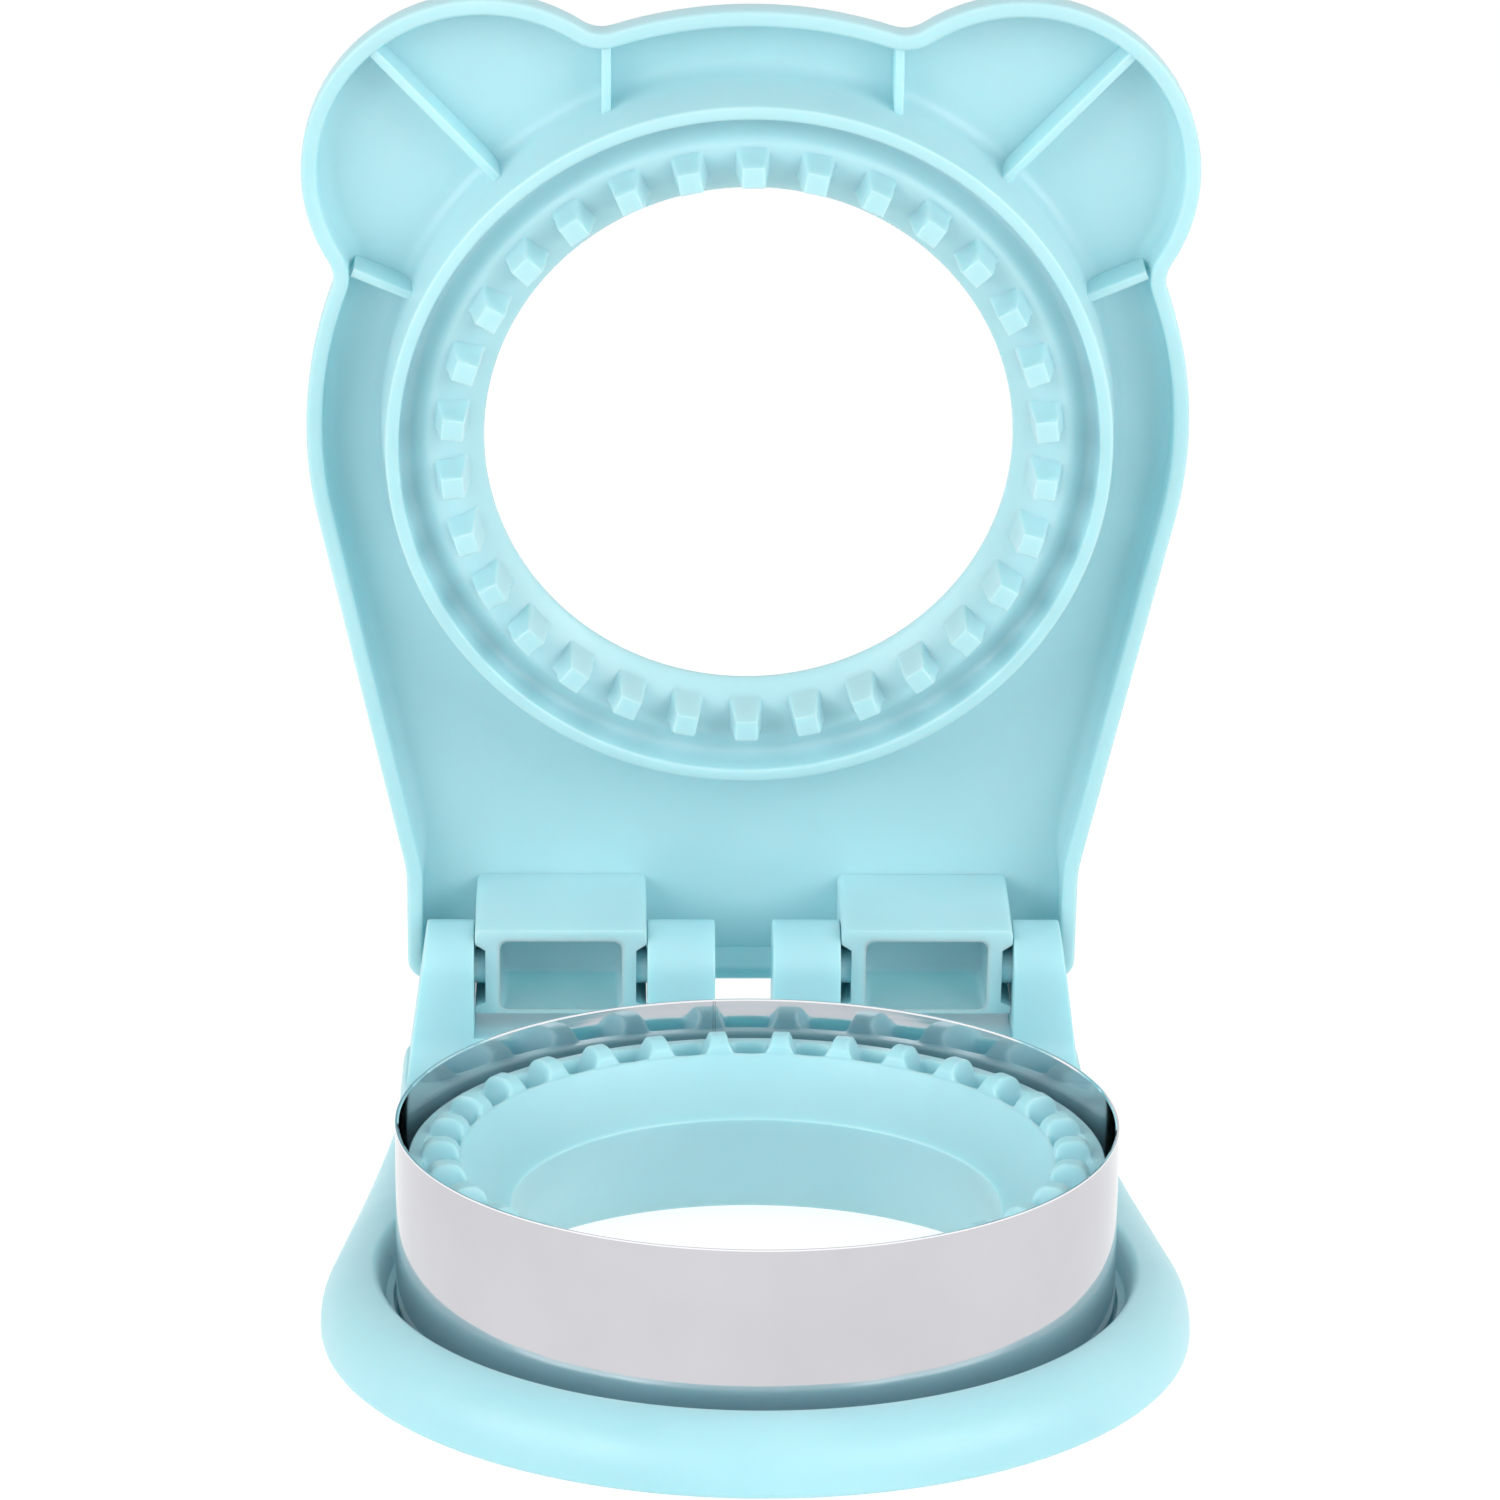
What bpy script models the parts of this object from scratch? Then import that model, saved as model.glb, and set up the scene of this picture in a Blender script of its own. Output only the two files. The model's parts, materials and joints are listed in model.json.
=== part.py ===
"""Hinged sandwich cutter and sealer: a steel cutting ring in a moulded base, with a toothed lid.

Metres, +Z up. The front of the tool faces -Y and the hinge is at the back. The ring's centre
is the construction origin, on the table, and the whole tool is moved at the end so that the
world origin is under the middle of its box. The lid is modelled shut and then swung open.
"""
import math

import bmesh
import bpy
from mathutils import Vector

# Fits
GAP = 0.0003              # running gap between pieces that touch
CUT_OVERRUN = 0.004       # how far a cutter runs past what it cuts
ROOT = 0.0006             # how far a rib or boss is sunk into the wall that carries it

# Steel cutting ring
RING_RADIUS = 0.0480      # outside
RING_WALL = 0.0005
RING_RISE = 0.00515       # top edge above the insert's ledge
RING_EDGE_SHARE = 0.35    # bevel of the top edge, as a share of the wall
RING_SEGMENTS = 80

# Base shell
GROOVE_WIDTH = 0.00265    # moat between the steel and the lip
LIP_WIDTH = 0.00045
SHELL_SWELL = 0.0070      # from the lip out to the widest place, near the table
SHELL_TAPER = 0.0081      # half width lost from there to the hinge
SHELL_FLANK_DEG = 8.0     # where the round front turns into the straight flanks
SHELL_HIP_RADIUS = 0.0250
SHELL_CORNER_RADIUS = 0.0030
SHELL_WALL = 0.0026
FOOT_ROUND = 0.0008       # rounding where the shell meets the table
SWELL_START = 0.0015      # height at which the outer wall starts to lean in
LIP_HEIGHT = 0.0092
LIP_ROUND_SHARE = 0.8     # rounding of the lip, as a share of its width
SWELL_LOSS_SHARE = 0.85   # part of the swell that is gone at the hinge
SWELL_FADE_SHARE = 0.5    # where it starts to go, as a share of the radius
GROOVE_FLOOR = 0.0060
DECK_SKIN = 0.0028
SEAT_TOP = 0.0038         # seat plate that carries the ring and the insert
SEAT_THICKNESS = 0.0020
SEAT_WIDTH = 0.0090       # from the steel inwards
GROOVE_WALL = 0.0020

# Hinge
HINGE_SETBACK = 0.0320    # from the steel back to the hinge axis
HINGE_HEIGHT = 0.0235
REST_OPEN_DEG = 81.5
PIN_RADIUS = 0.0025
PIN_REACH = 0.0024        # how far a pin goes into a post
BARREL_RADIUS = 0.0067    # rounded top of a post
POST_DRAFT = 0.0041       # lean of the outer posts' outside, from the table to their top
POST_OUTER_WIDTH = 0.0068
POST_FILLET = 0.0060
CENTRE_GAP_HALF = 0.0042
CENTRE_POST_WIDTH = 0.0098
WEB_CLEARANCE = 0.0015    # under the lugs with the lid upright
WEB_SETBACK = 0.0005      # web's back behind the posts' back
REAR_LEDGE = 0.0005       # shell's back edge behind the posts
POST_WALL = 0.0020
POST_ROOT = 0.0018        # how far the posts are sunk into the deck
LEAD_IN_DEPTH = 0.0010    # ramp that spreads the posts when the pins are snapped in

# Toothed insert in the base
INSERT_CLEARANCE = 0.0012  # between its wall and the steel
INSERT_WALL = 0.0020
LEDGE_DROP = 0.00065      # ledge below the lid's ridge with the lid shut
TOOTH_RISE = 0.00215      # teeth above the ledge
CRIMP_GAP = 0.0008        # between a lid tooth and the floor of its pocket
INSERT_RIM = 0.0017       # ledge outside the teeth
INSERT_TOOTH_LENGTH = 0.0052
TOOTH_FACE_SHARES = (0.06, 0.15, 0.24, 0.33)  # steps of a tooth's sloping end, along its length
TOOTH_LIFT_SHARES = (0.18, 0.50, 0.84, 1.0)   # and how high each one stands
FUNNEL_WIDTH = 0.0068
FUNNEL_DEPTH = 0.00725
INSERT_FOOT_HEIGHT = 0.0028
THROAT_ROUND = 0.0007
INSERT_EDGE_ROUND = 0.0004
FUNNEL_OUT_SHARE = 0.62   # middle of the funnel, outwards and upwards
FUNNEL_UP_SHARE = 0.40

# Teeth, base and lid alike
TOOTH_COUNT = 30
TOOTH_FOOT_SHARE = 0.25   # half of the tooth's foot, as a share of the pitch
TOOTH_CREST_SHARE = 0.14  # half of its crest
POCKET_FLOOR_SHARE = 0.19  # half of the floor of the pocket between two teeth

# Screws that hold the insert
SCREW_COUNT = 4
SCREW_FIRST_DEG = 45.0
SCREW_INSET = 0.0058      # from the steel's outside
SCREW_RADIUS = 0.0015
SCREW_REACH = 0.0075      # into the boss
SCREW_HEAD_RADIUS = 0.0028
SCREW_HEAD_HEIGHT = 0.0012
SCREW_DOME_SHARE = 0.5    # rounding of the head, as a share of its height
SCREW_TIP_SHARE = 0.3     # flat of the tip, as a share of the radius
SCREW_SEGMENTS = 12
BOSS_RADIUS = 0.0033
BORE_SPARE = 0.0010       # bore goes on past the screw's tip

# Lid, heights are measured from the ridge's edge, towards the lid's outer face
RIDGE_OVER_AXIS = 0.0015  # ridge's edge above the hinge axis with the lid shut
RIDGE_CLEARANCE = 0.0012  # between the steel and the ridge round it
RIDGE_WIDTH = 0.0019
RIDGE_DRAFT = 0.0009
RIDGE_ROUND = 0.0003
LID_MARGIN = 0.0113       # from the ridge out to the lid's edge
LID_TAPER = 0.0133        # half width lost from the head to the hinge
EAR_RADIUS = 0.0253
EAR_DEG = 46.1
EAR_SINK = 0.00883        # ear's centre inside the lid's edge
EAR_FILLET = 0.0045
LID_FLANK_DEG = 12.0
LID_HIP_RADIUS = 0.0200
LID_CORNER_RADIUS = 0.0030
LID_REAR = 0.0067         # lid's back edge behind the hinge axis
LID_RIM_WIDTH = 0.0022
LID_RIM_LEVEL = 0.0069
LID_RIM_ROUND = 0.0004
LID_SIDE_STRAIGHT = 0.0029
LID_EDGE_ROUND = 0.0055
EDGE_LOSS_SHARE = 0.55    # part of that rounding that is gone at the hinge
EDGE_FADE_SHARE = 0.5
LID_FLOOR_LEVEL = 0.0133
LID_FLOOR_FILLET = 0.0023
FILLET_MID_SHARES = (0.3, 0.4)  # middle of that fillet, inwards and downwards
LID_SKIN = 0.0020
CHANNEL_CLEARANCE = 0.0015  # over the steel's edge with the lid shut
CHANNEL_WIDTH = 0.0056    # from the ridge in to the teeth
CHANNEL_ROUND = 0.0010
CHANNEL_SHARES = ((0.82, 0.50), (0.62, 0.80), (0.36, 1.0))  # its bottom, inwards and downwards
CREST_LEVEL = 0.0023
LID_TOOTH_PROUD = 0.0028  # beyond the ridge's edge
LID_TOOTH_LENGTH = 0.0035
LID_TOOTH_ROUND = 0.0005
HOLE_LAND = 0.0028        # from the teeth in to the hole
LID_HOLE_LEVEL = 0.0058
LID_HOLE_EDGE = 0.0014
HOLE_EDGE_SHARES = (0.3, 0.4, 0.2)  # heights of the two upper rings, width of the lower one
DISH_LAND = 0.0029        # flat of the outer face between the edge round and the dish
DISH_SHARES = ((0.0, 0.0), (0.30, 0.30), (0.62, 0.78))  # inwards and downwards
RIB_THICKNESS = 0.00135
RIB_LEVEL = 0.0075
EAR_RIB_DEG = 47.0
SIDE_RIB_DEG = 23.3
TOP_RIB_DEG = 71.1
RIB_ROOT_SHARE = 0.6      # how far a rib runs into the ridge, as a share of its width

# Lid lugs between the posts
LUG_FRONT = 0.0075        # towards the ring, from the axis
LUG_DROP = 0.0036         # below the axis with the lid shut
LUG_NOTCH_DEPTH = 0.0015
LUG_NOTCH_HALF = 0.0042
LUG_SIDE_WALL = 0.0022
LUG_FRONT_WALL = 0.0020
LUG_REAR_WALL = 0.0011
LUG_ROUND = 0.0008
POCKET_BACK_SKIN = 0.0040
PIN_SEGMENTS = 20

# What follows from these: plan sizes grow outwards and inwards from the steel
GROOVE_RADIUS = RING_RADIUS + GROOVE_WIDTH
SLOT_RADIUS = RING_RADIUS + GAP
SEAT_HOLE_RADIUS = RING_RADIUS - SEAT_WIDTH
SHELL_RADIUS = GROOVE_RADIUS + LIP_WIDTH + SHELL_SWELL
SHELL_REAR_HALF = SHELL_RADIUS - SHELL_TAPER
INSERT_RADIUS = RING_RADIUS - RING_WALL - INSERT_CLEARANCE
INSERT_TOOTH_OUT = INSERT_RADIUS - INSERT_RIM
INSERT_TOOTH_IN = INSERT_TOOTH_OUT - INSERT_TOOTH_LENGTH
THROAT_RADIUS = INSERT_TOOTH_IN - FUNNEL_WIDTH
SCREW_CIRCLE = RING_RADIUS - SCREW_INSET
RIDGE_RADIUS = RING_RADIUS + RIDGE_CLEARANCE
LID_TOOTH_OUT = RIDGE_RADIUS - CHANNEL_WIDTH
LID_TOOTH_IN = LID_TOOTH_OUT - LID_TOOTH_LENGTH
LID_HOLE_RADIUS = LID_TOOTH_IN - HOLE_LAND
LID_RADIUS = RIDGE_RADIUS + RIDGE_WIDTH + LID_MARGIN
LID_REAR_HALF = LID_RADIUS - LID_TAPER
DISH_RADIUS = LID_RADIUS - LID_EDGE_ROUND - DISH_LAND
HINGE_BEHIND = RING_RADIUS + HINGE_SETBACK
POST_OUTER_TOP_HALF = SHELL_REAR_HALF - POST_DRAFT
LUG_TO_POST = POST_OUTER_TOP_HALF - POST_OUTER_WIDTH
LUG_OUT = LUG_TO_POST - GAP
POST_IN = CENTRE_GAP_HALF + CENTRE_POST_WIDTH
LUG_IN = POST_IN + GAP
WEB_HEIGHT = HINGE_HEIGHT - LUG_FRONT - WEB_CLEARANCE
INSERT_LEDGE = HINGE_HEIGHT + RIDGE_OVER_AXIS - LEDGE_DROP
INSERT_TOOTH_TOP = INSERT_LEDGE + TOOTH_RISE
POCKET_FLOOR = INSERT_LEDGE + LEDGE_DROP - LID_TOOTH_PROUD - CRIMP_GAP
THROAT_HEIGHT = INSERT_LEDGE - FUNNEL_DEPTH
RING_FOOT = SEAT_TOP + GAP
RING_TOP = INSERT_LEDGE + RING_RISE
CHANNEL_DEPTH = RING_TOP - HINGE_HEIGHT - RIDGE_OVER_AXIS + CHANNEL_CLEARANCE


def polar(radius, degrees):
    """Point at a radius and an angle from +X, turning towards the front."""
    angle = math.radians(degrees)
    return Vector((radius * math.cos(angle), radius * math.sin(angle)))


# Outlines: plan coordinates are (sideways, forwards), with forwards as world -Y

def arc(centre, radius, start, end, steps, hollow=False):
    """Points and outward normals along an arc; a hollow arc bends inwards."""
    places = []
    for step in range(steps + 1):
        direction = polar(1, start + (end - start) * step / steps)
        outward = -direction if hollow else direction
        places.append((centre + direction * radius, outward))
    return places


def straight(start, end, outward, steps):
    """Points between two places, both left out."""
    return [(start.lerp(end, step / steps), outward) for step in range(1, steps)]


def angle_of(vector):
    return math.degrees(math.atan2(vector.y, vector.x))


def flank(radius, flank_deg, half, hip, corner, rear, steps):
    """Right side from the flank's tangent point round to the middle of the back."""
    lean = polar(1, -flank_deg)
    hip_x = half + hip
    hip_y = (radius + hip - hip_x * lean.x) / lean.y
    hip_centre = Vector((hip_x, hip_y))
    side = arc(hip_centre, hip, 180 - flank_deg, 180, steps["hip"], hollow=True)
    places = straight(lean * radius, side[0][0], lean, steps["flank"]) + side
    corner_centre = Vector((half - corner, corner - rear))
    turn = arc(corner_centre, corner, 0, -90, steps["corner"])
    places += straight(side[-1][0], turn[0][0], Vector((1, 0)), steps["side"]) + turn
    middle = Vector((0, -rear))
    return places + straight(turn[-1][0], middle, Vector((0, -1)), steps["rear"])


def mirrored(right, rear):
    """Whole outline from its right half, which starts at the middle of the front."""
    left = [(Vector((-place.x, place.y)), Vector((-normal.x, normal.y)))
            for place, normal in reversed(right[1:])]
    return right + [(Vector((0, -rear)), Vector((0, -1)))] + left


def shell_outline():
    steps = {"flank": 9, "hip": 3, "side": 3, "corner": 3, "rear": 7}
    rear = HINGE_BEHIND + BARREL_RADIUS + REAR_LEDGE
    front = arc(Vector((0, 0)), SHELL_RADIUS, 90, -SHELL_FLANK_DEG, 20)
    return mirrored(front + flank(SHELL_RADIUS, SHELL_FLANK_DEG, SHELL_REAR_HALF,
                                  SHELL_HIP_RADIUS, SHELL_CORNER_RADIUS, rear, steps), rear)


def lid_outline():
    """Round head with two round ears, and flanks that narrow to the hinge."""
    steps = {"flank": 4, "hip": 2, "side": 2, "corner": 4, "rear": 4}
    rear = HINGE_BEHIND + LID_REAR
    ear = polar(LID_RADIUS - EAR_SINK, EAR_DEG)
    reach = LID_RADIUS + EAR_FILLET
    far = EAR_RADIUS + EAR_FILLET
    swing = math.degrees(math.acos((reach ** 2 + ear.length_squared - far ** 2)
                                   / (2 * reach * ear.length)))
    top = angle_of(ear) + swing
    low = angle_of(ear) - swing
    top_fillet = polar(reach, top)
    low_fillet = polar(reach, low)
    ear_start = angle_of(top_fillet - ear)
    ear_end = angle_of(low_fillet - ear)
    right = arc(Vector((0, 0)), LID_RADIUS, 90, top, 4)
    right += arc(top_fillet, EAR_FILLET, top - 180, ear_start - 180, 4, hollow=True)[1:]
    right += arc(ear, EAR_RADIUS, ear_start, ear_end, 18)[1:]
    right += arc(low_fillet, EAR_FILLET, ear_end + 180, low + 180, 4, hollow=True)[1:]
    right += arc(Vector((0, 0)), LID_RADIUS, low, -LID_FLANK_DEG, 6)[1:]
    right += flank(LID_RADIUS, LID_FLANK_DEG, LID_REAR_HALF, LID_HIP_RADIUS,
                   LID_CORNER_RADIUS, rear, steps)
    return mirrored(right, rear)


def ease(value, start, end):
    """Smooth step from 0 at start to 1 at end."""
    share = min(max((value - start) / (end - start), 0), 1)
    return share * share * (3 - 2 * share)


# Mesh building

def loop_from_outline(bm, outline, inset, height, shares=None):
    """Ring of vertices along an outline, moved inwards along its normals."""
    verts = []
    for index, (place, normal) in enumerate(outline):
        depth = inset * (shares[index] if shares else 1)
        spot = place - normal * depth
        verts.append(bm.verts.new((spot.x, -spot.y, height)))
    return verts


def loop_at_angles(bm, angles, radius, height):
    return [bm.verts.new((radius * math.cos(a), -radius * math.sin(a), height)) for a in angles]


def skin(bm, first, second):
    """Faces between two rings; a ring has None at the columns where it has no vertex."""
    count = len(first)
    shared = [index for index in range(count) if first[index] and second[index]]
    for start, end in zip(shared, shared[1:] + [shared[0] + count]):
        span = [index % count for index in range(start, end + 1)]
        near = [first[index] for index in span if first[index]]
        far = [second[index] for index in reversed(span) if second[index]]
        bm.faces.new(near + far)


def close_skin(bm, loops):
    """Skin all rings in turn and the last one back to the first."""
    for first, second in zip(loops, loops[1:] + loops[:1]):
        skin(bm, first, second)


def fill_between(bm, outer, inner):
    """Flat face with a hole, between two rings of unlike counts."""
    edges = []
    for loop in (outer, inner):
        ring = [vert for vert in loop if vert]
        for index, vert in enumerate(ring):
            pair = (vert, ring[(index + 1) % len(ring)])
            edges.append(bm.edges.get(pair) or bm.edges.new(pair))
    bmesh.ops.triangle_fill(bm, use_beauty=True, use_dissolve=False, edges=edges)


def finish(bm, name, material, smooth_deg=35):
    bmesh.ops.recalc_face_normals(bm, faces=bm.faces)
    mesh = bpy.data.meshes.new(name)
    bm.to_mesh(mesh)
    bm.free()
    mesh.shade_smooth()
    mesh.set_sharp_from_angle(angle=math.radians(smooth_deg))
    obj = bpy.data.objects.new(name, mesh)
    bpy.context.scene.collection.objects.link(obj)
    if material:
        obj.data.materials.append(material)
    return obj


def turned_loop(bm, columns, radius, *levels):
    """Ring of vertices on tooth columns, with a level for each kind of column.

    A ring with a single level has only the columns of the teeth's feet.
    """
    verts = []
    for angle, kind in columns:
        if kind and len(levels) == 1:
            verts.append(None)
        else:
            spot = (radius * math.cos(angle), -radius * math.sin(angle), levels[kind])
            verts.append(bm.verts.new(spot))
    return verts


def even_angles(count):
    return [2 * math.pi * index / count for index in range(count)]


def tooth_angles(first, pockets=False):
    """Columns for each tooth and their kinds: 0 its feet, 1 its crest, 2 the pocket's floor."""
    pitch = 2 * math.pi / TOOTH_COUNT
    shares = [(-TOOTH_FOOT_SHARE, 0), (-TOOTH_CREST_SHARE, 1),
              (TOOTH_CREST_SHARE, 1), (TOOTH_FOOT_SHARE, 0)]
    if pockets:
        shares += [(1 / 2 - POCKET_FLOOR_SHARE, 2), (1 / 2 + POCKET_FLOOR_SHARE, 2)]
    columns = []
    for tooth in range(TOOTH_COUNT):
        for share, kind in shares:
            columns.append((first + (tooth + share) * pitch, kind))
    return columns


def prism(name, points, low, high, axis):
    """Solid from a flat outline, run along x (points are y, z) or along z (points are x, y)."""
    bm = bmesh.new()
    rings = []
    for level in (low, high):
        ring = []
        for a, b in points:
            along = level(a, b) if callable(level) else level
            ring.append(bm.verts.new((along, a, b) if axis == "x" else (a, b, along)))
        rings.append(ring)
    skin(bm, rings[0], rings[1])
    bm.faces.new(rings[0])
    bm.faces.new(rings[1])
    return finish(bm, name, None)


def box(name, low, high):
    points = [(low[0], low[1]), (high[0], low[1]), (high[0], high[1]), (low[0], high[1])]
    return prism(name, points, low[2], high[2], "z")


def post_at(name, place, radius, low, high):
    """Upright round bar at a plan place."""
    circle = [place + polar(radius, math.degrees(angle)) for angle in even_angles(SCREW_SEGMENTS)]
    return prism(name, [tuple(spot) for spot in circle], low, high, "z")


def pin(name, radius, x_low, x_high, y, z):
    points = [(y + radius * math.cos(angle), z + radius * math.sin(angle))
              for angle in even_angles(PIN_SEGMENTS)]
    return prism(name, points, x_low, x_high, "x")


def rounded_rectangle(low, high, radius, steps=3):
    """Corners of a rectangle in plan with one radius, as (a, b) pairs."""
    centres = ((high[0] - radius, high[1] - radius), (low[0] + radius, high[1] - radius),
               (low[0] + radius, low[1] + radius), (high[0] - radius, low[1] + radius))
    points = []
    for quarter, centre in enumerate(centres):
        for step in range(steps + 1):
            spot = Vector(centre) + polar(radius, 90 * quarter + 90 * step / steps)
            points.append((spot.x, spot.y))
    return points


def join_all(name, pieces):
    """One guide object from several that don't touch."""
    bm = bmesh.new()
    for piece in pieces:
        bm.from_mesh(piece.data)
        bpy.data.objects.remove(piece, do_unlink=True)
    return finish(bm, name, None)


def apply_tool(target, tool, operation):
    """Boolean with a guide object that stays in the file as a wire."""
    tool.hide_render = True
    tool.display_type = "WIRE"
    tool.parent = target.parent
    modifier = target.modifiers.new(tool.name, "BOOLEAN")
    modifier.operation = operation
    modifier.object = tool
    modifier.solver = "EXACT"


def plastic(name, colour, roughness):
    material = bpy.data.materials.new(name)
    material.use_nodes = True
    shader = material.node_tree.nodes["Principled BSDF"]
    shader.inputs["Base Color"].default_value = (*colour, 1)
    shader.inputs["Roughness"].default_value = roughness
    return material


def steel(name, colour, roughness):
    material = plastic(name, colour, roughness)
    material.node_tree.nodes["Principled BSDF"].inputs["Metallic"].default_value = 1
    return material


# Pieces

def make_cutter_ring():
    bm = bmesh.new()
    angles = even_angles(RING_SEGMENTS)
    inner = RING_RADIUS - RING_WALL
    edge = RING_WALL * RING_EDGE_SHARE
    corners = ((RING_RADIUS, RING_FOOT), (RING_RADIUS, RING_TOP - edge),
               (RING_RADIUS - edge, RING_TOP), (inner, RING_TOP), (inner, RING_FOOT))
    loops = [loop_at_angles(bm, angles, radius, height) for radius, height in corners]
    close_skin(bm, loops)
    return finish(bm, "cutter_ring", steel("ring_steel", (0.56, 0.55, 0.57), 0.14))


def make_insert():
    """Toothed ring inside the steel, with a throat under it, hollow from below."""
    columns = tooth_angles(math.pi / 2 + math.pi / TOOTH_COUNT, pockets=True)
    foot_out = RING_RADIUS - RING_WALL - GAP
    wall_in = INSERT_RADIUS - INSERT_WALL
    ceiling = POCKET_FLOOR - INSERT_WALL
    throat_top = THROAT_HEIGHT + THROAT_ROUND
    funnel_mid = THROAT_RADIUS + (INSERT_TOOTH_IN - THROAT_RADIUS) * FUNNEL_OUT_SHARE
    funnel_mid_height = throat_top + (INSERT_LEDGE - throat_top) * FUNNEL_UP_SHARE
    hole = SEAT_HOLE_RADIUS - GAP
    plain = [
        (hole, RING_FOOT),
        (THROAT_RADIUS + THROAT_ROUND, THROAT_HEIGHT - THROAT_ROUND),
        (THROAT_RADIUS, THROAT_HEIGHT),
        (THROAT_RADIUS + THROAT_ROUND, throat_top),
        (funnel_mid, funnel_mid_height),
    ]
    # A tooth's two ends slope; the pocket beside it drops at once to its floor
    steps = list(zip(TOOTH_FACE_SHARES, TOOTH_LIFT_SHARES))
    ends = [(INSERT_TOOTH_IN + INSERT_TOOTH_LENGTH * along, lift) for along, lift in steps]
    ends += [(INSERT_TOOTH_OUT - INSERT_TOOTH_LENGTH * along, lift) for along, lift in reversed(steps)]
    toothed = [(INSERT_TOOTH_IN, INSERT_LEDGE, INSERT_LEDGE, INSERT_LEDGE)]
    toothed += [(radius, INSERT_LEDGE, INSERT_LEDGE + TOOTH_RISE * lift, POCKET_FLOOR)
                for radius, lift in ends]
    toothed += [(INSERT_TOOTH_OUT, INSERT_LEDGE, INSERT_LEDGE, INSERT_LEDGE)]
    outside = [
        (INSERT_RADIUS - INSERT_EDGE_ROUND, INSERT_LEDGE),
        (INSERT_RADIUS, INSERT_LEDGE - INSERT_EDGE_ROUND),
        (INSERT_RADIUS, RING_FOOT + INSERT_FOOT_HEIGHT),
        (foot_out, RING_FOOT + INSERT_FOOT_HEIGHT - (foot_out - INSERT_RADIUS)),
        (foot_out, RING_FOOT),
        (wall_in, RING_FOOT),
        (wall_in, ceiling),
        (INSERT_TOOTH_IN, ceiling),
        (THROAT_RADIUS + INSERT_WALL + THROAT_ROUND, THROAT_HEIGHT),
        (hole + INSERT_WALL, RING_FOOT),
    ]
    bm = bmesh.new()
    loops = [turned_loop(bm, columns, *spot) for spot in plain + toothed + outside]
    close_skin(bm, loops)
    insert = finish(bm, "crimp_insert", plastic("insert_plastic", (0.40, 0.80, 0.83), 0.42))
    bosses = []
    bores = []
    for place in screw_places():
        tip = SEAT_TOP + SCREW_REACH + BORE_SPARE
        bosses.append(post_at("boss", place, BOSS_RADIUS, RING_FOOT, ceiling + ROOT))
        bores.append(post_at("bore", place, SCREW_RADIUS + GAP, RING_FOOT - CUT_OVERRUN, tip))
    apply_tool(insert, join_all("insert_bosses", bosses), "UNION")
    apply_tool(insert, join_all("insert_bores", bores), "DIFFERENCE")
    return insert


def screw_places():
    turn = 360 / SCREW_COUNT
    return [polar(SCREW_CIRCLE, SCREW_FIRST_DEG + index * turn) for index in range(SCREW_COUNT)]


def make_screws():
    material = steel("screw_steel", (0.50, 0.50, 0.50), 0.35)
    under_seat = SEAT_TOP - SEAT_THICKNESS - GAP
    low = under_seat - SCREW_HEAD_HEIGHT
    tip = SEAT_TOP + SCREW_REACH
    dome = SCREW_HEAD_HEIGHT * SCREW_DOME_SHARE
    screws = []
    for index, place in enumerate(screw_places()):
        bm = bmesh.new()
        angles = even_angles(SCREW_SEGMENTS)
        levels = ((SCREW_HEAD_RADIUS - dome, low), (SCREW_HEAD_RADIUS, low + dome),
                  (SCREW_HEAD_RADIUS, under_seat), (SCREW_RADIUS, under_seat),
                  (SCREW_RADIUS, tip - SCREW_RADIUS), (SCREW_RADIUS * SCREW_TIP_SHARE, tip))
        loops = [loop_at_angles(bm, angles, radius, height) for radius, height in levels]
        for first, second in zip(loops, loops[1:]):
            skin(bm, first, second)
        bm.faces.new(loops[0])
        bm.faces.new(loops[-1])
        screw = finish(bm, "insert_screw_%d" % (index + 1), material)
        screw.location = (place.x, place.y, 0)
        screws.append(screw)
    return screws


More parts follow.
